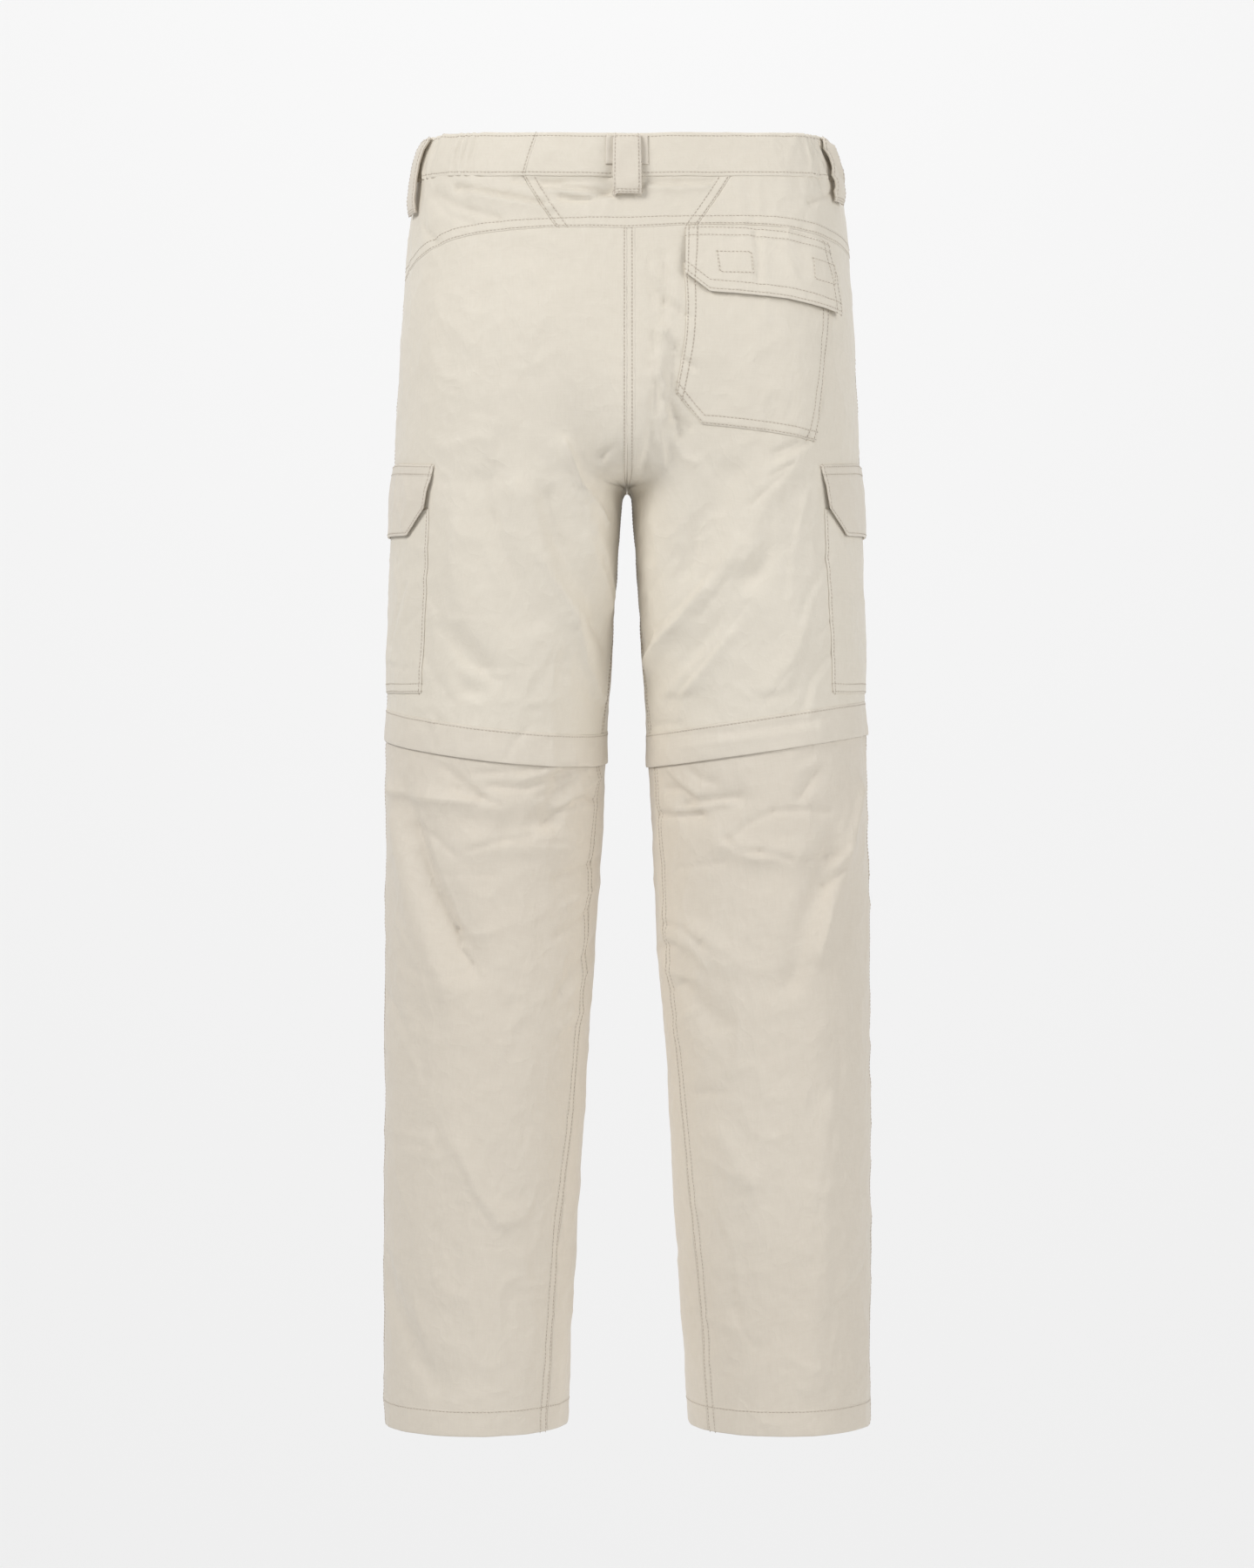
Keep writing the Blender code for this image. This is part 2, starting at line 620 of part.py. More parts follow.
def lower_panels():
    """Back and front of both zip-off lower legs."""
    for leg in (LEFT, RIGHT):
        side = SIDE_NAMES[leg]
        for face, ends in (("back", (0.0, 0.5)), ("front", (0.5, 1.0))):
            turns = np.linspace(*ends, LOWER_COLUMNS + 1)
            top = zip_height(leg, turns) - ZIP_REACH
            bottom = np.full_like(turns, HEM)
            heights = panel_heights(LOWER_LEVELS, top, bottom, LOWER_EASE, HEM + 1.0)
            grid = cloth(leg, turns[None, :], heights)
            grid = draw_in(grid, ("top", "start", "end"))
            wall(f"lower_{face}_{side}", grid, CLOTH, BEIGE_LEG, turned=leg == RIGHT)


def zip_covers():
    """The strip that covers each knee zip, a closed ring of cloth."""
    for line in ZIPS:
        turns = np.linspace(0.0, 1.0, STRIP_COLUMNS, endpoint=False)
        shares = np.array([0.0, 0.5, 1.0])[:, None]
        heights = zip_height(line.leg, turns) - shares * line.strip
        lift = LAYER_GAP + STRIP_CLOTH
        grid = cloth(line.leg, turns[None, :], heights, lift)
        name = f"zip_cover_{SIDE_NAMES[line.leg]}"
        wall(name, grid, STRIP_CLOTH, BEIGE_TRIM, turned=line.leg == RIGHT, ring=True)


def yoke():
    """The back yoke: a centre piece between two slanted seams, and two side pieces."""
    shares = np.linspace(0.0, 1.0, 4)[:, None]
    split = YOKE_SPLIT_TOP + (YOKE_SPLIT_BOTTOM - YOKE_SPLIT_TOP) * shares
    across = np.linspace(-1.0, 1.0, 9)[None, :]
    turns = split * across
    wall("yoke_centre", yoke_grid(turns, shares), CLOTH, BEIGE)
    across = np.linspace(0.0, 1.0, 11)[None, :]
    turns = split + (0.5 - split) * across
    wall("yoke_left", yoke_grid(turns, shares), CLOTH, BEIGE)
    wall("yoke_right", yoke_grid(-turns[:, ::-1], shares), CLOTH, BEIGE)


def yoke_grid(turns, shares):
    """Points of a yoke piece between the waistband's seam and the seam under the yoke."""
    top = waist_rise(turns) - BAND_HALF
    plain = np.abs(turns)
    bottom = np.where(turns < 0.0, curve(YOKE_SEAM, "right", plain),
                      curve(YOKE_SEAM, "left", plain))
    grid = around_waist(turns, top + (bottom - top) * shares)
    return draw_in(grid, ("top", "bottom", "start", "end"))


def gather_lift(turns):
    """The small upright waves of the elastic at both sides."""
    lift = np.zeros_like(turns)
    for row in GATHERS:
        along = (turns * row.leg - row.start) / (row.end - row.start)
        inside = ease(along * GATHER_FADE) * ease((1.0 - along) * GATHER_FADE)
        lift = lift + GATHER_LIFT * inside * np.cos(2.0 * math.pi * row.waves * along)
    return lift


def band_turns(start, end):
    """Columns of the waistband: two to a wave where it is gathered, wider apart elsewhere."""
    left, right = GATHERS
    columns = np.concatenate((
        np.linspace(-1.15, -right.end, 14, endpoint=False),
        np.linspace(-right.end, -right.start, 2 * right.waves, endpoint=False),
        np.linspace(-right.start, left.start, 9, endpoint=False),
        np.linspace(left.start, left.end, 2 * left.waves, endpoint=False),
        np.linspace(left.end, 1.15, 15),
    ))
    inside = columns[(columns > start + 0.01) & (columns < end - 0.01)]
    return np.concatenate(([start], inside, [end]))


def waistband():
    """Two lengths of waistband: they meet at the slanted seam and lap at the front."""
    lap = 2.0 * LAP / WAIST_GIRTH
    ramp = 2.0 * LAP_RAMP / WAIST_GIRTH
    shares = np.array([0.0, 1.0])[:, None]
    slant = (BAND_SEAM_BOTTOM - BAND_SEAM_TOP) * (shares - 0.5)
    seam = (BAND_SEAM_BOTTOM + BAND_SEAM_TOP) / 2.0

    turns = band_turns(seam, 1.0 + lap)[None, :]
    turns = turns + slant * np.clip(1.0 - (turns - seam) / SLANT_FADE, 0.0, 1.0)
    over = (BAND_CLOTH + LAYER_GAP) * ease((turns - (1.0 - lap - ramp)) / ramp)
    lift = BAND_LIFT + over + gather_lift(turns)
    heights = waist_rise(turns) + BAND_HALF * (1.0 - 2.0 * shares)
    grid = draw_in(around_waist(turns, heights, lift), ("bottom", "start"))
    wall("waistband_left", grid, BAND_CLOTH, BEIGE)

    turns = band_turns(-1.0 - lap, seam)[None, :]
    turns = turns + slant * np.clip(1.0 + (turns - seam) / SLANT_FADE, 0.0, 1.0)
    lift = BAND_LIFT + gather_lift(turns)
    heights = waist_rise(turns) + BAND_HALF * (1.0 - 2.0 * shares)
    grid = draw_in(around_waist(turns, heights, lift), ("bottom", "end"))
    wall("waistband_right", grid, BAND_CLOTH, BEIGE)


def belt_loops():
    """Straps that stand off the waistband and lie on it at both ends."""
    shares = np.array(LOOP_ROWS)[:, None]
    stand = LOOP_STAND * ease(shares / LOOP_FOOT) * ease((1.0 - shares) / LOOP_FOOT)
    for loop in LOOPS:
        half = half_turns(loop.width, loop.turn)
        turns = loop.turn + np.linspace(-half, half, 3)[None, :]
        heights = waist_rise(loop.turn) + loop.top + (loop.bottom - loop.top) * shares
        lift = BAND_LIFT + loop.under + LAYER_GAP + LOOP_CLOTH + stand
        wall(loop.name, around_waist(turns, heights, lift), LOOP_CLOTH, BEIGE_TRIM)


def loop_tab():
    """The small tab behind the centre back loop."""
    half = half_turns(TAB_WIDTH, 0.0)
    turns = np.linspace(-half, half, 5)[None, :]
    heights = np.linspace(TAB_TOP, TAB_BOTTOM, 3)[:, None]
    lift = BAND_LIFT + LAYER_GAP + TAB_CLOTH
    wall("loop_back_tab", around_waist(turns, heights, lift), TAB_CLOTH, BEIGE_TRIM)


def fly():
    """The flap over the front closure, rounded at its lower outer corner."""
    right = 1.0 + FLY_RIGHT * 2.0 / HIP_GIRTH
    left = 1.0 - FLY_LEFT * 2.0 / HIP_GIRTH
    across = np.linspace(0.0, 1.0, 6)[None, :]
    turns = left + (right - left) * across
    top = waist_rise(turns) - BAND_HALF - SEAM_GAP
    bend = np.sqrt(1.0 - (1.0 - np.clip(across / FLY_ROUND_SHARE, 0.0, 1.0)) ** 2)
    bottom = FLY_BOTTOM + FLY_ROUND * (1.0 - bend)
    shares = np.linspace(0.0, 1.0, 8)[:, None]
    heights = top + (bottom - top) * shares
    grid = around_waist(turns, heights, FLY_AIR + CLOTH)
    wall("fly_flap", grid, CLOTH, BEIGE)


def waist_button():
    """The button on the waistband's lapped end."""
    turn = np.array(1.0 + LAP / 2.0 / WAIST_GIRTH)
    height = waist_rise(turn)
    lift = BAND_LIFT + BAND_CLOTH + 2.0 * LAYER_GAP + BUTTON_THICKNESS / 2.0
    place = around_waist(turn, height, lift)
    bpy.ops.mesh.primitive_cylinder_add(vertices=BUTTON_SIDES, radius=BUTTON_RADIUS * MM,
                                        depth=BUTTON_THICKNESS * MM,
                                        location=tuple(place * MM),
                                        rotation=(math.pi / 2.0, 0.0, 0.0))
    button = bpy.context.object
    button.name = "waist_button"
    button.data.name = "waist_button"
    button.data.materials.append(finish_material("waist_button", BUTTON_BROWN))
    edge = button.modifiers.new("Edge", "BEVEL")
    edge.width = BUTTON_EDGE * MM
    edge.segments = 2
    edge.limit_method = "ANGLE"
    button.users_collection[0].objects.unlink(button)
    bpy.data.collections[COLLECTION].objects.link(button)


def patch(name, table, leg, rows, thickness, lift, finish):
    """A piece sewn on a panel; lift gives the air under it by its shares down and across."""
    count = (len(table) - 1) * PATCH_SPLIT + 1
    at = np.linspace(0, len(table) - 1, count)
    corners = [np.interp(at, range(len(table)), values) for values in zip(*table)]
    top_place, top, bottom_place, bottom = corners
    down = np.linspace(0.0, 1.0, rows)[:, None]
    across = np.linspace(0.0, 1.0, count)[None, :]
    heights = top + (bottom - top) * down
    places = top_place + (bottom_place - top_place) * down
    grid = cloth(leg, turn_at(places, heights), heights, lift(down, across) + thickness)
    wall(name, grid, thickness, finish, turned=leg == RIGHT)


def pocket_lift(belly):
    """Air under a pocket: it is sewn down at its edges and its middle stands off."""
    def lift(down, across):
        full = np.sin(math.pi * down) * np.sin(math.pi * across)
        return POCKET_AIR + belly * full**BELLY_POWER
    return lift


def flap_lift(down, across):
    """Air under a flap: it is sewn at its top and passes over its pocket."""
    over = (LAYER_GAP + CLOTH) * ease(down / FLAP_STEP)
    return LAYER_GAP + over + FLAP_STAND * down + 0.0 * across


def pockets():
    """The back pocket on the wearer's right and a cargo pocket on each thigh."""
    patch("back_pocket", BACK_POCKET, RIGHT, POCKET_ROWS, CLOTH,
          pocket_lift(POCKET_BELLY), BEIGE)
    patch("back_pocket_flap", BACK_POCKET_FLAP, RIGHT, FLAP_ROWS, FLAP_CLOTH,
          flap_lift, BEIGE)
    for leg in (LEFT, RIGHT):
        side = SIDE_NAMES[leg]
        patch(f"cargo_pocket_{side}", CARGO_POCKET, leg, POCKET_ROWS, CLOTH,
              pocket_lift(CARGO_BELLY), BEIGE)
        patch(f"cargo_flap_{side}", CARGO_FLAP, leg, FLAP_ROWS, FLAP_CLOTH,
              flap_lift, BEIGE_TRIM)


def clear_scene():
    """Removes whatever the scene holds and makes the trousers' own collection."""
    for old in list(bpy.data.objects):
        bpy.data.objects.remove(old, do_unlink=True)
    collection = bpy.data.collections.new(COLLECTION)
    bpy.context.scene.collection.children.link(collection)


def main():
    clear_scene()
    waistband()
    belt_loops()
    loop_tab()
    yoke()
    upper_panels()
    fly()
    waist_button()
    pockets()
    zip_covers()
    lower_panels()


main()
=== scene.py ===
"""Looks of the zip-off outdoor trousers, filled out as worn and seen from behind.

Every piece of cloth lies on one shared surface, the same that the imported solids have.
A point of it is named by a side, a turn and a height. The turn runs round a leg from 0
at the inseam, or at the centre back seam above the crotch, by the outer side seam at
0.5, to 1 at the inseam or the centre front seam. The back faces +Y and the wearer's
left is +X. Sizes are millimetres unless a name says otherwise, and heights are measured
from the middle of the waistband.
"""

import logging
import math
from collections.abc import Callable, Sequence
from dataclasses import dataclass, field
from enum import Enum

import bpy
import numpy as np
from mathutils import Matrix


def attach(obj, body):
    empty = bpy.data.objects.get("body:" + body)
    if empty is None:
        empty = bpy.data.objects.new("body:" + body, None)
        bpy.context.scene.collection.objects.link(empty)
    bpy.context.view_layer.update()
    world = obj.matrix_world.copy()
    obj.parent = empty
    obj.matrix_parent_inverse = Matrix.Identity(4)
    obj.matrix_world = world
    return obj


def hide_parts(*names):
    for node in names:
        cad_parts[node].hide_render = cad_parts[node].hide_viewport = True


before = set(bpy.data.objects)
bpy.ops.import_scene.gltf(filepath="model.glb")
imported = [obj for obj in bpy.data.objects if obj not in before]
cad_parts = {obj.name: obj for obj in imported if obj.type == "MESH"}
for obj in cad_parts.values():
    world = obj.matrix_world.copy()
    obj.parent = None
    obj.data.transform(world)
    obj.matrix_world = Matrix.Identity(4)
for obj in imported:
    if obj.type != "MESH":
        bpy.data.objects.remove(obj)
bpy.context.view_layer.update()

log = logging.getLogger("trousers")
MM = 0.001
BODY = "root"

Points = np.ndarray
Lift = Callable[[Points, Points], Points]


class Side(Enum):
    """The wearer's left, on +X, or right."""

    LEFT = 1
    RIGHT = -1

    @property
    def word(self) -> str:
        """The side's name as it stands in a piece's name."""
        return self.name.lower()


class Edge(Enum):
    """The four edges of a piece of cloth: its first and last row and column."""

    TOP = "top"
    BOTTOM = "bottom"
    START = "start"
    END = "end"


class Held(Enum):
    """How a piece of cloth is held."""

    HUNG = "hung"
    GATHERED = "gathered"
    STRETCHED = "stretched"


@dataclass(frozen=True)
class Trunk:
    """Half oval of the trunk at a height: half width, depth to the back and the front."""

    height: float
    half_width: float
    back: float
    front: float


@dataclass(frozen=True)
class Leg:
    """Oval of a leg at a height: outer and inner side, half depth, shift to the back."""

    height: float
    outer: float
    inner: float
    half_depth: float
    middle: float


@dataclass(frozen=True)
class Inseam:
    """How far, in turns, the inseam has wandered to the back at a height."""

    height: float
    shift: float


@dataclass(frozen=True)
class Waist:
    """How far the waist is above its middle height at a turn."""

    turn: float
    rise: float


@dataclass(frozen=True)
class YokeSeam:
    """Heights of the seam under the yoke at a turn, on the left and on the right."""

    turn: float
    left: float
    right: float


@dataclass(frozen=True)
class Zip:
    """The tilted plane of a knee zip's cover strip: height, two slopes and its width."""

    height: float
    outward: float
    backward: float
    strip: float


@dataclass(frozen=True)
class Fold:
    """A fold through three places, in cloth from the side seam and height.

    Its ridge or trough is round.
    """

    side: Side
    start: float
    start_height: float
    middle: float
    middle_height: float
    end: float
    end_height: float
    width: float
    lift: float


@dataclass(frozen=True)
class Crease(Fold):
    """A crisp fold. A pressed one runs on over the pockets and strips."""

    pressed: bool = False


@dataclass(frozen=True)
class Flat:
    """A stretch of cloth that a pocket or strip holds flat, and how far that eases off."""

    side: Side
    start: float
    end: float
    top: float
    bottom: float
    ease_off: float


@dataclass(frozen=True)
class Column:
    """One column of a sewn-on piece: places from the side seam and heights of its ends."""

    top_place: float
    top: float
    bottom_place: float
    bottom: float


L, R = Side.LEFT, Side.RIGHT

TRUNK = (
    Trunk(34.0, 165.5, 118.0, 111.0),
    Trunk(14.0, 172.6, 121.0, 113.0),
    Trunk(-9.0, 178.2, 124.0, 115.0),
    Trunk(-37.0, 182.0, 127.5, 117.0),
    Trunk(-66.0, 184.4, 131.5, 119.0),
    Trunk(-95.0, 186.5, 136.0, 121.0),
    Trunk(-124.0, 188.6, 140.0, 123.0),
    Trunk(-154.0, 190.2, 142.5, 124.0),
    Trunk(-183.0, 191.6, 143.0, 124.0),
    Trunk(-212.0, 193.0, 141.0, 123.0),
    Trunk(-258.0, 194.6, 134.0, 120.0),
    Trunk(-330.0, 196.4, 122.0, 112.0),
    Trunk(-400.0, 198.4, 113.0, 104.0),
)
LEG = (
    Leg(-120.0, 188.3, 0.3, 131.0, 8.0),
    Leg(-212.0, 193.0, 0.3, 125.0, 5.0),
    Leg(-258.0, 194.6, 0.3, 118.5, 3.0),
    Leg(-264.0, 194.8, 3.4, 118.0, 2.5),
    Leg(-272.0, 195.0, 4.4, 117.0, 2.0),
    Leg(-300.0, 195.6, 6.0, 113.0, 0.5),
    Leg(-358.0, 197.0, 9.5, 106.0, -1.5),
    Leg(-416.0, 198.8, 13.1, 99.0, -2.5),
    Leg(-475.0, 200.4, 16.8, 92.5, -2.0),
    Leg(-577.0, 201.0, 22.8, 86.0, 0.0),
    Leg(-650.0, 201.8, 27.5, 83.0, 3.0),
    Leg(-723.0, 202.2, 32.0, 80.5, 5.0),
    Leg(-796.0, 202.7, 36.5, 78.0, 5.0),
    Leg(-869.0, 203.4, 40.9, 75.0, 4.0),
    Leg(-942.0, 204.0, 44.9, 72.0, 2.0),
    Leg(-1038.0, 204.0, 50.4, 68.0, 0.0),
)
INSEAM = (
    Inseam(-258.0, 0.0),
    Inseam(-330.0, 0.012),
    Inseam(-430.0, 0.035),
    Inseam(-520.0, 0.052),
    Inseam(-650.0, 0.060),
    Inseam(-780.0, 0.078),
    Inseam(-900.0, 0.098),
    Inseam(-1038.0, 0.105),
)
WAIST = (
    Waist(0.0, 0.0),
    Waist(0.15, 2.5),
    Waist(0.35, 8.0),
    Waist(0.5, 10.0),
    Waist(0.75, 2.0),
    Waist(1.0, -8.0),
)
YOKE_SEAM = (
    YokeSeam(0.0, -59.5, -59.5),
    YokeSeam(0.08, -58.5, -56.5),
    YokeSeam(0.15, -60.5, -55.5),
    YokeSeam(0.21, -63.5, -56.5),
    YokeSeam(0.27, -69.0, -59.0),
    YokeSeam(0.33, -76.5, -62.5),
    YokeSeam(0.41, -84.0, -66.5),
    YokeSeam(0.5, -87.0, -70.0),
)
ZIPS = {
    L: Zip(-462.0, 0.109, -0.100, 26.5),
    R: Zip(-464.5, 0.148, -0.020, 28.0),
}

# The main folds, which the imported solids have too
FOLDS = tuple(Fold(*row) for row in (
    # back of the left thigh
    (L, -222, -240, -238, -303, -268, -352, 13, 3.6),
    (L, -181, -270, -190, -318, -222, -364, 14, 3.4),
    (L, -204, -275, -214, -325, -244, -372, 10, -2.8),
    (L, -222, -364, -240, -400, -262, -436, 12, 2.4),
    (L, -150, -262, -152, -320, -168, -372, 16, -2.6),
    (L, -96, -352, -116, -385, -140, -409, 10, -2.8),
    (L, -86, -396, -108, -418, -130, -430, 10, -2.2),
    (L, -122, -300, -112, -340, -96, -372, 14, 2.4),
    # back of the right thigh
    (R, -258, -402, -209, -358, -172, -320, 13, 3.8),
    (R, -172, -320, -160, -277, -138, -248, 12, 2.8),
    (R, -228, -436, -187, -394, -164, -353, 12, 3.0),
    (R, -216, -330, -200, -290, -186, -256, 13, -2.6),
    (R, -208, -402, -176, -366, -150, -318, 9, -2.4),
    (R, -140, -431, -117, -390, -98, -342, 11, 2.6),
    (R, -119, -439, -103, -406, -92, -377, 9, -2.2),
    # back of the left lower leg
    (L, -61, -518, -88, -584, -124, -652, 13, -4.2),
    (L, -40, -536, -64, -600, -98, -668, 13, 3.0),
    (L, -32, -508, -115, -519, -147, -521, 9, 2.6),
    (L, -207, -497, -190, -532, -150, -545, 10, -2.4),
    (L, -123, -555, -161, -549, -216, -555, 11, 2.4),
    (L, -108, -803, -124, -832, -143, -859, 12, 2.2),
    (L, -29, -921, -60, -962, -85, -994, 12, -2.6),
    # back of the right lower leg
    (R, -42, -512, -68, -570, -92, -640, 13, 3.8),
    (R, -78, -560, -98, -610, -112, -664, 12, -3.2),
    (R, -231, -495, -200, -530, -161, -516, 11, -2.4),
    (R, -173, -553, -149, -560, -112, -562, 10, 2.4),
    (R, -235, -620, -190, -632, -166, -648, 11, 2.4),
    (R, -212, -667, -193, -683, -172, -700, 10, -2.0),
    (R, -172, -791, -160, -808, -147, -827, 11, 2.2),
    (R, -75, -772, -92, -886, -93, -992, 14, 2.4),
    # fronts
    (L, 236, -262, 190, -240, 136, -222, 13, 3.0),
    (L, 252, -300, 206, -296, 152, -270, 12, -2.8),
    (L, 240, -344, 196, -344, 150, -322, 12, 2.6),
    (L, 226, -430, 178, -418, 132, -426, 12, -2.4),
    (L, 236, -520, 176, -508, 110, -522, 12, 3.0),
    (L, 210, -556, 160, -566, 96, -556, 11, -2.4),
    (L, 186, -640, 146, -690, 120, -744, 13, 2.4),
    (L, 160, -860, 120, -900, 92, -950, 13, -2.2),
    (R, 240, -258, 186, -232, 128, -220, 13, 2.8),
    (R, 250, -292, 210, -288, 164, -262, 11, -2.6),
    (R, 236, -356, 186, -340, 142, -346, 12, 2.6),
    (R, 220, -424, 170, -428, 128, -414, 12, -2.2),
    (R, 232, -512, 170, -520, 112, -506, 12, 2.8),
    (R, 196, -560, 150, -548, 100, -562, 11, -2.6),
    (R, 170, -660, 140, -704, 108, -740, 13, 2.4),
    (R, 152, -840, 126, -890, 88, -930, 13, -2.2),
))

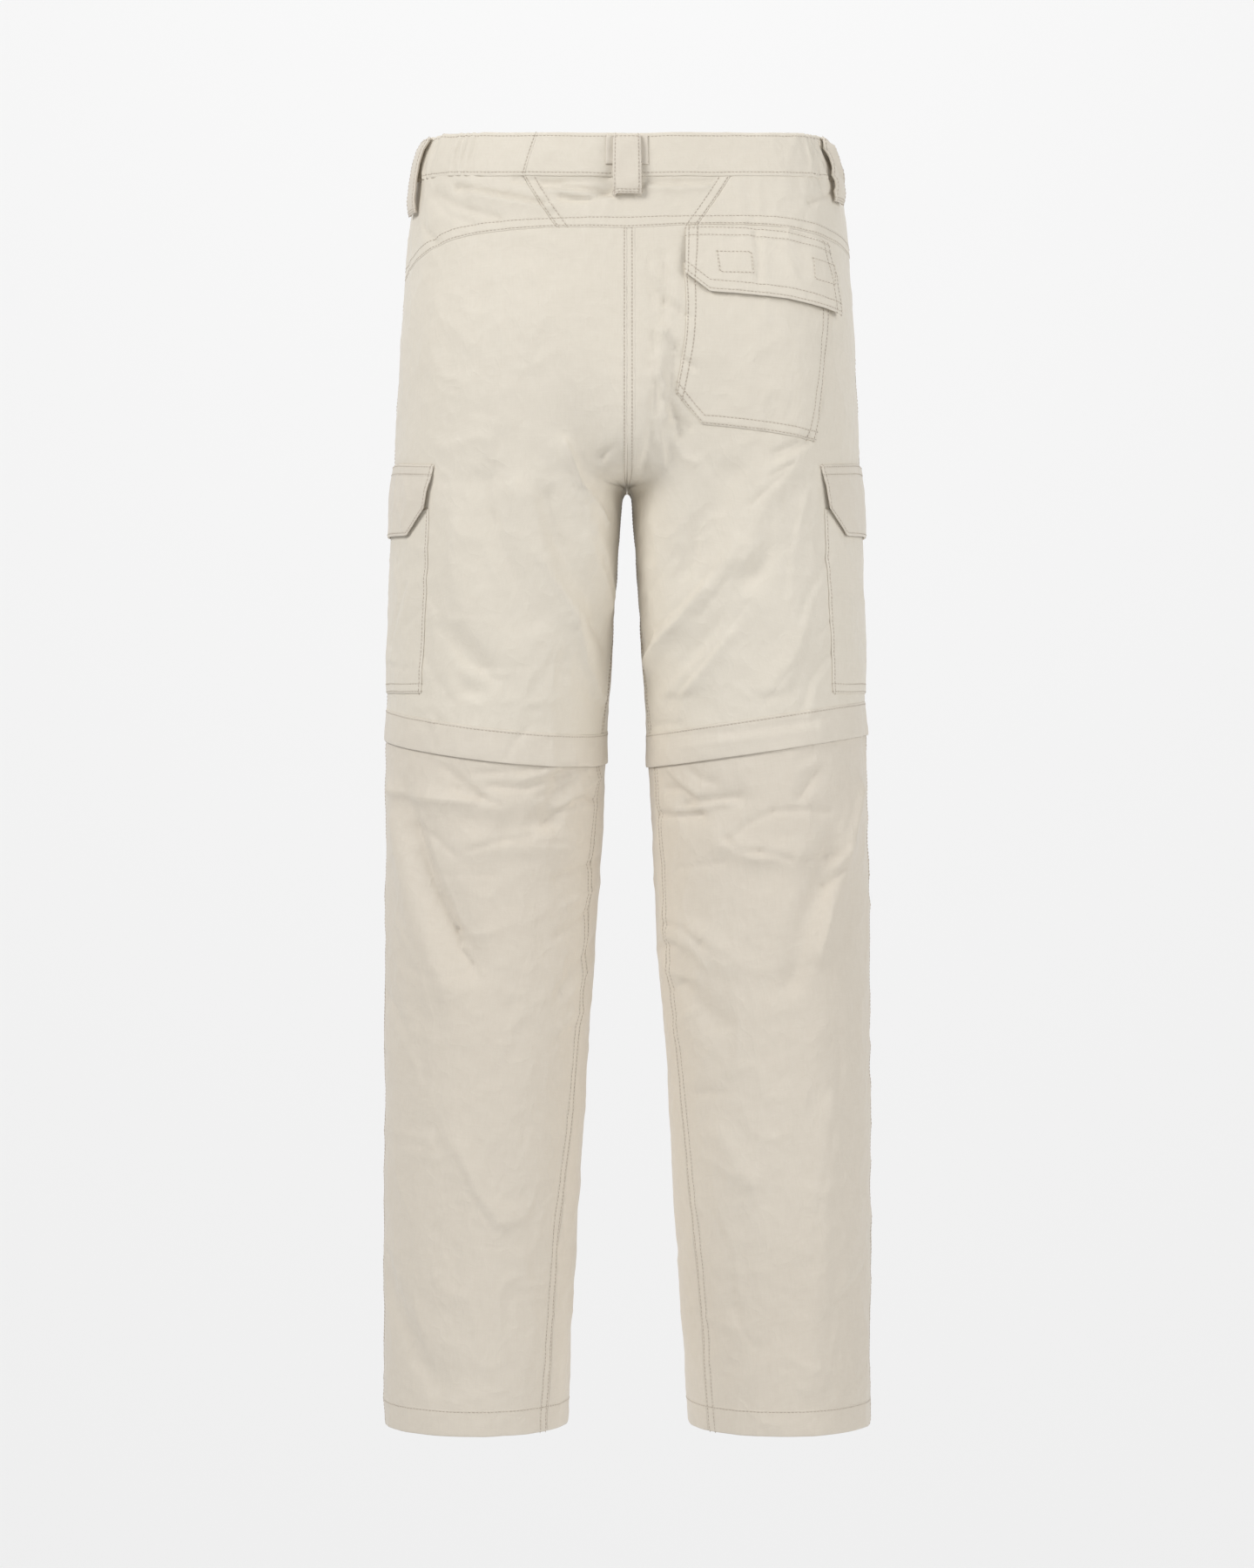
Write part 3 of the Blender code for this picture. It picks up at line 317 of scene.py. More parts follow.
# Crisp creases of the thin dry cloth, which lie between and on the main folds
CREASES = tuple(Crease(*row) for row in (
    # yoke and waist
    (L, -116, -22, -157, -31, -193, -39, 3.0, -3.2),
    (L, -130, -28, -169, -37, -200, -42, 3.4, 2.4),
    (L, -94, -25, -124, -39, -160, -50, 4.0, -1.8),
    (L, -190, -24, -216, -26, -245, -31, 2.8, -3.0),
    (L, -196, -28, -220, -31, -248, -35, 3.0, 2.3),
    (L, -206, -34, -226, -36, -248, -31, 2.6, -3.0),
    (L, -165, -19, -200, -21, -243, -19, 2.4, -2.1),
    (L, -90, -27, -116, -46, -138, -53, 3.4, -1.1),
    (L, -82, -51, -95, -60, -104, -66, 3.0, -1.8),
    (R, -242, -21, -208, -22, -186, -20, 2.4, -1.8),
    (R, -242, -26, -217, -28, -193, -25, 3.0, 1.7),
    (R, -106, -33, -88, -27, -72, -21, 2.6, -1.8),
    (R, -90, 9, -87, -8, -84, -22, 2.6, -1.6),
    # seat
    (R, -252, -87, -255, -130, -258, -170, 4.0, -1.8),
    (R, -240, -81, -242, -108, -250, -138, 3.4, -2.1),
    (R, -233, -87, -232, -110, -240, -129, 3.2, 1.4),
    (R, -248, -143, -252, -178, -243, -211, 4.0, 2.0),
    (R, -240, -157, -241, -191, -230, -224, 4.0, -1.8),
    (R, -254, -185, -254, -218, -258, -250, 4.6, -1.8),
    (L, -250, -242, -257, -237, -266, -232, 2.8, -1.8),
    (L, -161, -107, -163, -156, -155, -204, 9.0, -1.0),
    (L, -112, -110, -113, -167, -105, -222, 10.0, 0.9),
    (R, -160, -60, -161, -78, -169, -103, 3.4, -1.1, True),
    (R, -166, -63, -168, -86, -173, -107, 3.6, 0.9, True),
    (R, -132, -57, -140, -77, -138, -98, 3.2, 0.7, True),
    (R, -112, -146, -109, -173, -112, -202, 3.6, -1.4, True),
    (R, -151, -238, -140, -233, -124, -224, 3.2, -1.7),
    # back of the left thigh
    (L, -221, -229, -228, -259, -260, -291, 3.0, 2.5),
    (L, -222, -254, -233, -296, -252, -322, 4.2, -1.4),
    (L, -252, -322, -267, -346, -283, -368, 4.0, -1.3),
    (L, -183, -266, -185, -293, -190, -320, 4.5, -0.7),
    (L, -189, -318, -202, -340, -220, -371, 4.0, 1.6),
    (L, -220, -371, -234, -407, -268, -448, 4.0, 1.6),
    (L, -193, -328, -208, -356, -223, -376, 4.2, -1.2),
    (L, -208, -335, -228, -363, -263, -393, 6.2, -1.4),
    (L, -158, -287, -167, -328, -187, -372, 5.0, -1.1),
    (L, -169, -228, -157, -263, -159, -294, 4.4, -0.9),
    (L, -103, -378, -123, -402, -155, -421, 5.5, -1.0, True),
    (L, -93, -352, -104, -367, -119, -392, 5.0, -0.8, True),
    (L, -87, -399, -99, -422, -114, -438, 5.5, -0.8, True),
    (L, -137, -412, -173, -409, -210, -405, 3.5, -0.4),
    (L, -238, -432, -251, -441, -263, -455, 7.5, -1.3),
    (L, -205, -265, -211, -286, -215, -304, 4.4, 0.8),
    # back of the right thigh
    (R, -271, -407, -221, -373, -198, -345, 4.0, 1.6),
    (R, -263, -390, -222, -361, -195, -332, 5.0, -1.4),
    (R, -232, -448, -198, -416, -176, -384, 4.2, 1.4),
    (R, -224, -433, -191, -399, -163, -358, 5.2, -1.6),
    (R, -201, -367, -179, -338, -170, -317, 4.5, -1.3),
    (R, -170, -317, -165, -294, -160, -274, 4.8, -1.0),
    (R, -166, -279, -154, -266, -141, -254, 2.8, -1.5),
    (R, -152, -256, -145, -251, -135, -245, 2.6, -1.7),
    (R, -151, -244, -138, -237, -120, -227, 3.6, -1.5),
    (R, -125, -302, -120, -272, -114, -245, 4.0, 1.1),
    (R, -120, -265, -114, -254, -112, -240, 3.6, -1.1),
    (R, -125, -400, -116, -359, -93, -320, 5.0, -0.9, True),
    (R, -117, -391, -108, -356, -90, -327, 5.0, 0.7, True),
    (R, -139, -432, -129, -416, -115, -403, 3.8, -0.9, True),
    (R, -112, -444, -106, -420, -87, -396, 4.8, -1.0, True),
    (R, -105, -442, -97, -420, -85, -404, 4.5, 0.7, True),
    (R, -98, -381, -92, -375, -84, -369, 3.2, -0.7, True),
    (R, -133, -356, -131, -321, -129, -293, 4.5, -0.5),
    (R, -267, -353, -242, -336, -228, -320, 4.5, -0.6),
    (R, -211, -293, -210, -321, -219, -343, 6.2, -0.5),

    # back of the left knee and lower leg
    (L, -32, -509, -82, -516, -128, -519, 2.4, 1.3),
    (L, -112, -508, -129, -514, -148, -520, 2.8, -1.9),
    (L, -96, -484, -115, -501, -134, -515, 4.4, -1.6),
    (L, -128, -496, -154, -494, -183, -491, 3.4, -1.2),
    (L, -140, -506, -170, -508, -199, -498, 3.4, -1.8),
    (L, -199, -498, -215, -493, -231, -491, 3.2, -1.8),
    (L, -165, -500, -196, -493, -220, -487, 4.4, 1.3),
    (L, -182, -514, -204, -507, -222, -498, 3.2, -1.1),
    (L, -198, -523, -226, -510, -256, -498, 5.0, 2.0),
    (L, -215, -518, -230, -515, -246, -517, 2.6, -2.0),
    (L, -187, -536, -199, -527, -219, -519, 3.4, -1.7),
    (L, -122, -558, -145, -551, -174, -547, 3.2, -1.6),
    (L, -164, -552, -197, -552, -225, -554, 2.8, -1.0),
    (L, -68, -538, -88, -586, -108, -623, 3.4, -2.3),
    (L, -78, -533, -98, -582, -114, -620, 4.2, 1.4),
    (L, -109, -623, -113, -639, -122, -650, 3.0, -2.1),
    (L, -114, -637, -122, -648, -132, -658, 3.4, 1.1),
    (L, -76, -541, -92, -548, -109, -562, 2.8, -1.1),
    (L, -196, -581, -220, -574, -262, -566, 4.0, -1.7),
    (L, -196, -628, -216, -619, -238, -608, 3.4, -1.3),
    (L, -205, -604, -225, -597, -253, -590, 4.0, 1.2),
    (L, -198, -675, -212, -656, -255, -633, 5.7, -1.4),
    (L, -206, -683, -225, -664, -251, -649, 4.4, 1.0),
    (L, -196, -715, -206, -706, -218, -704, 3.9, -1.1),
    (L, -200, -704, -210, -696, -229, -691, 4.4, 1.0),
    (L, -91, -578, -122, -578, -143, -579, 2.8, -0.5),
    (L, -44, -619, -75, -652, -85, -689, 6.5, 0.8),
    (L, -58, -654, -90, -662, -113, -658, 4.2, -0.6),
    (L, -18, -678, -39, -688, -58, -706, 4.4, -0.9),
    (L, -109, -803, -122, -834, -142, -862, 4.2, 0.7),
    (L, -104, -806, -117, -837, -136, -866, 4.5, -0.5),
    (L, -201, -890, -212, -889, -234, -890, 4.2, -1.1),
    (L, -68, -933, -74, -961, -81, -975, 6.4, 0.7),
    (L, -24, -894, -45, -928, -63, -976, 8.0, -1.0),
    (L, -102, -880, -105, -909, -98, -938, 6.4, -0.5),
    (L, -89, -781, -95, -809, -97, -838, 6.4, -0.5),
    (L, -174, -839, -168, -875, -170, -911, 7.0, -0.6),
    (L, -72, -718, -77, -746, -73, -775, 7.0, -0.5),
    (L, -62, -811, -71, -846, -69, -882, 9.6, 0.5),
    (L, -165, -918, -171, -947, -163, -983, 7.4, 0.5),
    # back of the right knee and lower leg
    (R, -231, -493, -213, -505, -197, -513, 5.0, 2.0),
    (R, -208, -491, -195, -500, -182, -503, 3.2, -1.6),
    (R, -236, -508, -217, -508, -205, -515, 3.2, -1.9),
    (R, -221, -526, -191, -524, -167, -519, 3.6, 1.6),
    (R, -210, -520, -186, -517, -161, -515, 3.0, -1.7),
    (R, -249, -529, -219, -530, -194, -529, 2.8, -2.4),
    (R, -167, -548, -152, -536, -133, -527, 2.8, -1.2),
    (R, -133, -527, -113, -525, -82, -526, 2.8, -1.7),
    (R, -170, -548, -158, -559, -142, -559, 2.8, -1.8),
    (R, -142, -559, -130, -561, -116, -566, 2.8, -1.4),
    (R, -166, -555, -149, -564, -134, -565, 3.2, 1.1),
    (R, -111, -515, -99, -498, -83, -481, 3.2, -1.4),
    (R, -104, -566, -87, -564, -71, -560, 2.8, -1.2),
    (R, -65, -573, -75, -581, -84, -587, 2.8, -1.8),
    (R, -82, -575, -71, -568, -63, -558, 4.0, 1.3),
    (R, -60, -561, -52, -534, -41, -505, 2.8, 0.9),
    (R, -67, -561, -61, -535, -51, -513, 3.2, -0.9),
    (R, -86, -588, -91, -622, -98, -653, 3.2, -1.0),
    (R, -79, -588, -83, -616, -90, -640, 2.8, 0.8),
    (R, -238, -619, -210, -622, -191, -635, 3.8, -1.8),
    (R, -191, -635, -179, -642, -168, -646, 4.9, -1.0),
    (R, -229, -631, -200, -638, -186, -652, 5.2, 1.1),
    (R, -250, -639, -230, -637, -217, -637, 2.8, -1.3),
    (R, -241, -657, -214, -662, -196, -664, 5.2, 1.3),
    (R, -235, -677, -215, -670, -206, -667, 4.7, -0.9),
    (R, -226, -704, -210, -696, -196, -689, 4.7, 0.9),
    (R, -198, -759, -181, -756, -170, -757, 4.5, -1.0),
    (R, -220, -574, -196, -571, -172, -568, 3.0, -0.8),
    (R, -190, -808, -174, -814, -163, -821, 6.4, 0.9),
    (R, -179, -855, -165, -883, -157, -932, 7.4, -0.8),
    (R, -172, -853, -159, -881, -151, -928, 6.4, 0.7),
    (R, -157, -932, -150, -950, -139, -964, 6.1, -0.9),
    (R, -184, -943, -166, -947, -151, -951, 5.8, 0.8),
    (R, -68, -928, -52, -916, -29, -904, 5.1, -1.1),
    (R, -78, -932, -62, -916, -45, -903, 6.4, 0.7),
    (R, -68, -704, -66, -739, -74, -789, 9.6, -0.8),
    (R, -74, -789, -87, -842, -93, -895, 9.6, -0.9),
    (R, -93, -895, -94, -931, -95, -974, 9.6, -0.7),
    (R, -53, -1006, -40, -994, -23, -982, 5.4, -0.7),
    (R, -204, -892, -196, -862, -199, -841, 4.5, 0.5),
    # on the cargo pockets and the knee strips
    (L, -63, -342, -46, -366, -32, -389, 4.0, -1.1, True),
    (L, -73, -339, -61, -364, -42, -387, 4.2, 0.7, True),
    (L, -28, -404, -43, -407, -63, -410, 3.5, -0.8, True),
    (L, -64, -375, -75, -369, -86, -361, 3.2, -0.6, True),
    (L, -37, -331, -58, -324, -71, -319, 3.8, 0.5, True),
    (R, -80, -304, -56, -325, -24, -352, 3.8, 0.7, True),
    (R, -83, -345, -61, -347, -34, -350, 3.5, -0.6, True),
    (R, -54, -380, -37, -382, -22, -386, 3.5, -0.9, True),
    (R, -70, -354, -54, -359, -36, -366, 3.2, 0.5, True),
    (L, -92, -451, -95, -463, -91, -477, 2.6, 1.0, True),
    (L, -99, -453, -94, -460, -95, -474, 2.6, -1.0, True),
    (L, -172, -460, -162, -470, -155, -483, 2.6, -0.9, True),
    (R, -263, -456, -239, -455, -217, -455, 2.6, -1.0, True),
    (R, -242, -465, -155, -460, -87, -450, 3.0, -0.6, True),
    (R, -216, -474, -148, -467, -104, -460, 3.0, 0.6, True),
    (L, -71, -259, -77, -274, -67, -289, 3.4, 0.7, True),
    # fronts
    (L, 246, -276, 204, -262, 160, -238, 4.0, -1.5),
    (L, 240, -318, 200, -316, 164, -300, 4.8, 0.7),
    (L, 232, -400, 196, -392, 150, -398, 4.8, 0.7),
    (L, 252, -356, 214, -362, 170, -350, 5.0, -0.7),
    (L, 128, -300, 122, -350, 134, -398, 5.5, -0.7),
    (L, 226, -536, 180, -530, 130, -540, 3.6, -1.3),
    (L, 210, -506, 168, -498, 120, -504, 3.6, 1.2),
    (L, 190, -600, 150, -620, 110, -626, 4.4, 1.1),
    (L, 176, -700, 150, -760, 140, -820, 9.6, -0.6),
    (L, 110, -690, 96, -760, 100, -830, 9.6, 0.6),
    (L, 140, -900, 118, -950, 110, -1000, 8.6, 0.6),
    (L, 70, -880, 88, -930, 84, -990, 8.0, -0.6),
    (L, 200, -120, 160, -150, 120, -160, 6.0, 0.9),
    (L, 230, -180, 190, -196, 150, -186, 5.0, -1.0),
    (R, 246, -272, 208, -256, 162, -230, 4.0, -1.5),
    (R, 238, -324, 196, -310, 158, -306, 4.8, 0.7),
    (R, 230, -392, 190, -402, 150, -392, 4.8, 0.7),
    (R, 250, -350, 212, -344, 166, -356, 5.0, -0.7),
    (R, 130, -290, 126, -344, 136, -390, 5.5, -0.7),
    (R, 222, -540, 178, -536, 130, -530, 3.6, -1.3),
    (R, 206, -500, 164, -506, 118, -496, 3.6, 1.2),
    (R, 186, -604, 150, -612, 112, -630, 4.4, 1.1),
    (R, 170, -720, 150, -780, 136, -830, 9.6, -0.6),
    (R, 104, -680, 92, -750, 98, -820, 9.6, 0.6),
    (R, 138, -880, 120, -940, 112, -1000, 8.6, 0.6),
    (R, 66, -870, 82, -930, 80, -990, 8.0, -0.6),
    (R, 204, -130, 164, -150, 124, -170, 6.0, 0.9),
    (R, -84, 18, -76, 6, -70, -8, 2.4, -1.8),
    (R, -72, 20, -64, 8, -60, -4, 2.4, -2.0),
    (R, -62, 16, -54, 2, -50, -12, 2.2, 1.8),
    (R, -50, 19, -44, 6, -42, -10, 2.2, -1.8),
    (R, -256, -92, -246, -104, -238, -118, 3.0, 1.5),
    (R, -250, -112, -240, -124, -228, -132, 3.0, -1.5),
    (R, -257, -128, -248, -146, -240, -160, 3.2, 1.6),
    (R, -244, -150, -234, -164, -224, -172, 3.0, -1.4),
    (R, -256, -166, -248, -184, -236, -200, 3.4, 1.6),
    (R, -246, -196, -236, -210, -222, -218, 3.2, -1.5),
    (R, -254, -212, -246, -230, -240, -248, 3.4, 1.5),
    (R, -236, -226, -226, -240, -214, -246, 3.2, 1.3),
    (R, 234, -176, 196, -190, 150, -194, 5.0, -1.0),
))

FLATS = (
    Flat(L, -108, 94, -238, -430, 16.0),
    Flat(R, -108, 94, -238, -430, 16.0),
    Flat(L, -400, 400, -440, -484, 10.0),
    Flat(R, -400, 400, -436, -486, 10.0),
)

BACK_POCKET = (
    Column(-224.0, -88.0, -237.0, -191.0),
    Column(-203.0, -88.0, -212.0, -216.0),
    Column(-176.0, -88.0, -183.0, -219.0),
    Column(-150.0, -88.0, -157.0, -222.0),
    Column(-124.0, -89.0, -135.0, -225.0),
    Column(-98.0, -91.0, -116.0, -228.0),
)
BACK_POCKET_FLAP = (
    Column(-217.0, -58.0, -225.0, -97.0),
    Column(-197.0, -57.0, -208.0, -112.0),
    Column(-168.0, -57.0, -174.0, -114.0),
    Column(-141.0, -58.5, -143.0, -116.0),
    Column(-115.0, -61.5, -118.0, -120.0),
    Column(-88.0, -65.5, -91.0, -125.0),
)
CARGO_POCKET = (
    Column(-99.0, -281.0, -81.0, -430.0),
    Column(-73.0, -281.0, -58.0, -430.0),
    Column(-47.0, -281.0, -36.0, -429.0),
    Column(-21.0, -281.0, -14.0, -429.0),
    Column(6.0, -280.0, 9.0, -428.0),
    Column(32.0, -280.0, 31.0, -428.0),
    Column(58.0, -280.0, 53.0, -427.0),
    Column(84.0, -280.0, 75.0, -427.0),
)
CARGO_FLAP = (
    Column(-108.0, -246.0, -97.0, -280.0),
    Column(-84.0, -244.0, -72.0, -301.0),
    Column(-52.0, -241.0, -44.0, -300.0),
    Column(-20.0, -239.0, -16.0, -299.0),
    Column(12.0, -238.0, 12.0, -298.0),
    Column(42.0, -239.0, 39.0, -298.0),
    Column(70.0, -240.0, 62.0, -299.0),
    Column(93.0, -242.0, 86.0, -279.0),
)


def ease(share: Points) -> Points:
    """Smooth step from 0 to 1."""
    share = np.clip(share, 0.0, 1.0)
    return share * share * (3.0 - 2.0 * share)


def curve(table: Sequence, column: str, at: Points) -> Points:
    """Reads a table's column along a smooth line through its rows.

    Args:
        table: Rows of one dataclass. Its first field is the one that at is measured in.
        column: The name of the field that is read.
        at: The places to read it at.

    Returns:
        The values there. The line never overshoots the table's own values.
    """
    first = next(iter(table[0].__dataclass_fields__))
    rows = sorted(table, key=lambda row: getattr(row, first))
    knots = np.array([getattr(row, first) for row in rows])
    values = np.array([getattr(row, column) for row in rows])
    rises = np.diff(values) / np.diff(knots)
    product = rises[:-1] * rises[1:]
    total = np.where(product > 0.0, rises[:-1] + rises[1:], 1.0)
    inner = np.where(product > 0.0, 2.0 * product / total, 0.0)
    slopes = np.concatenate((rises[:1], inner, rises[-1:]))
    at = np.clip(at, knots[0], knots[-1])
    low = np.clip(np.searchsorted(knots, at) - 1, 0, len(knots) - 2)
    span = knots[low + 1] - knots[low]
    share = (at - knots[low]) / span
    start = (2.0 * share**3 - 3.0 * share**2 + 1.0) * values[low]
    start_slope = (share**3 - 2.0 * share**2 + share) * span * slopes[low]
    end = (3.0 * share**2 - 2.0 * share**3) * values[low + 1]
    end_slope = (share**3 - share**2) * span * slopes[low + 1]
    return start + start_slope + end + end_slope


AXIS_MIXERS = (73856093, 19349663, 83492791)
SEED_MIXER = 40503
LAST_MIXER = 1274126177
WORD = 0xFFFFFFFF
HALF_WORD = 0xFFFF


def lattice_noise(points: Points, seed: int) -> Points:
    """Smooth random values that change over one unit.

    Args:
        points: Places, with x, y and z on the last axis.
        seed: Picks one of many fixed patterns.

    Returns:
        A value from -1 to 1 for each place.
    """
    base = np.floor(points).astype(np.int64)
    part = ease(points - base)
    total = np.zeros(points.shape[:-1])
    for corner in range(8):
        offset = np.array([(corner >> axis) & 1 for axis in range(3)])
        x, y, z = (np.moveaxis(base + offset, -1, 0)[i] * AXIS_MIXERS[i] for i in range(3))
        mixed = (x ^ y ^ z ^ seed * SEED_MIXER) & WORD
        mixed = (mixed ^ (mixed >> 13)) * LAST_MIXER & WORD
        value = ((mixed ^ (mixed >> 16)) & HALF_WORD) / (HALF_WORD / 2.0) - 1.0
        total += value * np.prod(np.where(offset, part, 1.0 - part), axis=-1)
    return total


@dataclass(frozen=True)
class Crumple:
    """One layer of random unevenness: its size, height and pattern."""

    across: float
    down: float
    height: float
    seed: int
    crisp: bool = False
    drift: float = 0.6
    drift_size: float = 1.7
    drift_offset: float = 31.0
    drift_seed: int = 5
    ridge_depth: float = 2.4
    ridge_power: float = 0.8

    def lift(self, points: Points) -> Points:
        """How far the layer lifts the cloth at the given points."""
        size = np.array([self.across, self.across, self.down])
        drifted = points / size / self.drift_size + self.drift_offset
        drift = self.drift * lattice_noise(drifted, self.seed + self.drift_seed)
        value = lattice_noise(points / size + drift[..., None], self.seed)
        if self.crisp:
            value = 1.0 - self.ridge_depth * np.abs(value) ** self.ridge_power
        return value * self.height


@dataclass
class TrouserForm:
    """The shared surface of the filled-out trousers, and the folds of its cloth."""

    squareness: float = 0.055
    band_half: float = 18.0
    crotch: float = -258.0
    hem: float = -1038.0
    rise_top: float = -138.0
    rise_power: float = 4.5
    soft_top: float = -120.0
    soft_bottom: float = -380.0
    soft_turn: float = 0.10
    leg_squareness: float = 0.09
    square_bottom: float = -475.0
    square_turn: float = 0.25
    speed_turn: float = 0.02
    trunk_girth: float = 1000.0
    seam_fade: float = 16.0
    rough_fade: float = 24.0
    fold_reach: float = 4.0
    fold_rate: float = 1.35
    crease_rate: float = 2.0
    crease_spread: float = 1.25
    crease_round: float = 0.03
    crease_fall: float = 1.7
    normal_turn: float = 0.002
    normal_height: float = 1.5
    crumples: tuple[Crumple, ...] = (
        Crumple(95.0, 120.0, 1.6, 11),
        Crumple(38.0, 52.0, 0.8, 23),
        Crumple(24.0, 30.0, 0.65, 37, True),
        Crumple(12.0, 14.0, 0.28, 53, True),
    )
    arc_turns: Points = field(default_factory=lambda: np.linspace(0.0, 1.0, 129))
    arc_heights: Points = field(default_factory=lambda: np.linspace(34.0, -1038.0, 135))

    def __post_init__(self) -> None:
        """Measures the cloth from the side seam, by height and turn."""
        ring = self.smooth(1, self.arc_turns[None, :], self.arc_heights[:, None])
        steps = np.linalg.norm(np.diff(ring, axis=1), axis=2)
        none = np.zeros((len(self.arc_heights), 1))
        arcs = np.concatenate((none, np.cumsum(steps, axis=1)), axis=1)
        self.arcs = arcs - arcs[:, [len(self.arc_turns) // 2]]

    def trunk_oval(self, turn: Points, height: Points) -> tuple[Points, Points]:
        """The trunk's half oval, a little squarer than an ellipse, as x and y."""
        angle = math.pi * turn
        width = curve(TRUNK, "half_width", height)
        back = curve(TRUNK, "back", height)
        front = curve(TRUNK, "front", height)
        depth = np.where(turn < 0.5, back, front)
        square = self.squareness
        x = width * (np.sin(angle) + square * np.sin(3.0 * angle)) / (1.0 - square)
        y = depth * (np.cos(angle) - square * np.cos(3.0 * angle)) / (1.0 - square)
        return x, y

    def leg_oval(self, turn: Points, height: Points) -> tuple[Points, Points]:
        """The leg's oval, turned so that its inseam wanders to the back, as x and y."""
        shift = curve(INSEAM, "shift", height)
        angle = 2.0 * math.pi * (turn + shift * np.abs(1.0 - 2.0 * turn))
        outer = curve(LEG, "outer", height)
        inner = curve(LEG, "inner", height)
        low = self.square_bottom
        square = ease(1.0 - np.minimum(turn, 1.0 - turn) / self.square_turn)
        square = square * ease((height - low) / (self.crotch - low)) * self.leg_squareness
        across = (np.cos(angle) - square * np.cos(3.0 * angle)) / (1.0 - square)
        deep = (np.sin(angle) + square * np.sin(3.0 * angle)) / (1.0 - square)
        x = inner + (outer - inner) / 2.0 * (1.0 - across)
        y = curve(LEG, "middle", height) + curve(LEG, "half_depth", height) * deep
        return x, y

    def leg_share(self, turn: Points, height: Points) -> Points:
        """How far the trunk's oval has turned into the leg's, from 0 to 1."""
        drop = (self.rise_top - height) / (self.rise_top - self.crotch)
        drop = np.clip(drop, 0.0, 1.0)
        sharp = 1.0 - (1.0 - drop**self.rise_power) ** (1.0 / self.rise_power)
        soft = ease((self.soft_top - height) / (self.soft_top - self.soft_bottom))
        away = ease(np.minimum(turn, 1.0 - turn) / self.soft_turn)
        return sharp * (1.0 - away) + soft * away

    def smooth(self, leg: Points, turn: Points, height: Points) -> Points:
        """Points of the unfolded cloth's outer face; leg is 1 on the left, -1 right."""
        leg, turn, height = np.broadcast_arrays(leg, np.asarray(turn, float), height)
        trunk_x, trunk_y = self.trunk_oval(turn, height)
        leg_x, leg_y = self.leg_oval(turn, height)
        share = self.leg_share(turn, height)
        x = trunk_x * (1.0 - share) + leg_x * share
        y = trunk_y * (1.0 - share) + leg_y * share
        return np.stack((leg * x, y, height), axis=-1)

    def outward(self, leg: Points, turn: Points, height: Points) -> Points:
        """Unit vectors that point out of the cloth."""
        low = np.clip(turn - self.normal_turn, 0.0, 1.0)
        high = np.clip(turn + self.normal_turn, 0.0, 1.0)
        round_way = self.smooth(leg, high, height) - self.smooth(leg, low, height)
        step = self.normal_height
        up = self.smooth(leg, turn, height + step) - self.smooth(leg, turn, height - step)
        normal = np.cross(up, round_way) * np.asarray(leg)[..., None]
        return normal / np.linalg.norm(normal, axis=-1, keepdims=True)

    def arc_rows(self, height: Points) -> tuple[Points, Points]:
        """The row of the measured lengths above a height, and the next one's share."""
        step = self.arc_heights[0] - self.arc_heights[1]
        at = (self.arc_heights[0] - np.asarray(height, float)) / step
        at = np.clip(at, 0.0, len(self.arc_heights) - 1.001)
        row = at.astype(int)
        return row, at - row

    def from_side(self, turn: Points, height: Points) -> Points:
        """Length of cloth from the side seam to a turn, minus to the back."""
        turn, height = np.broadcast_arrays(np.asarray(turn, float), height)
        row, down = self.arc_rows(height)
        at = np.clip(turn, 0.0, 1.0) * (len(self.arc_turns) - 1.001)
        col = at.astype(int)
        on = at - col
        upper = self.arcs[row, col] * (1.0 - on) + self.arcs[row, col + 1] * on
        lower = self.arcs[row + 1, col] * (1.0 - on) + self.arcs[row + 1, col + 1] * on
        return upper * (1.0 - down) + lower * down

    def turn_at(self, place: Points, height: Points) -> Points:
        """Turn that lies a length of cloth from the side seam."""
        place, height = np.broadcast_arrays(np.asarray(place, float), height)
        row, down = self.arc_rows(height)
        turns = [
            np.interp(length, self.arcs[i] * (1.0 - on) + self.arcs[i + 1] * on,
                      self.arc_turns)
            for length, i, on in zip(place.flat, row.flat, down.flat)
        ]
        return np.array(turns).reshape(place.shape)

    def half_turns(self, width: float, turn: float) -> float:
        """Turns that half a width of cloth takes at the waist, at a turn of either side."""
        low = max(abs(turn) - self.speed_turn, 0.0)
        high = min(abs(turn) + self.speed_turn, 1.0)
        length = self.from_side(high, 0.0) - self.from_side(low, 0.0)
        return width / 2.0 * (high - low) / float(length)

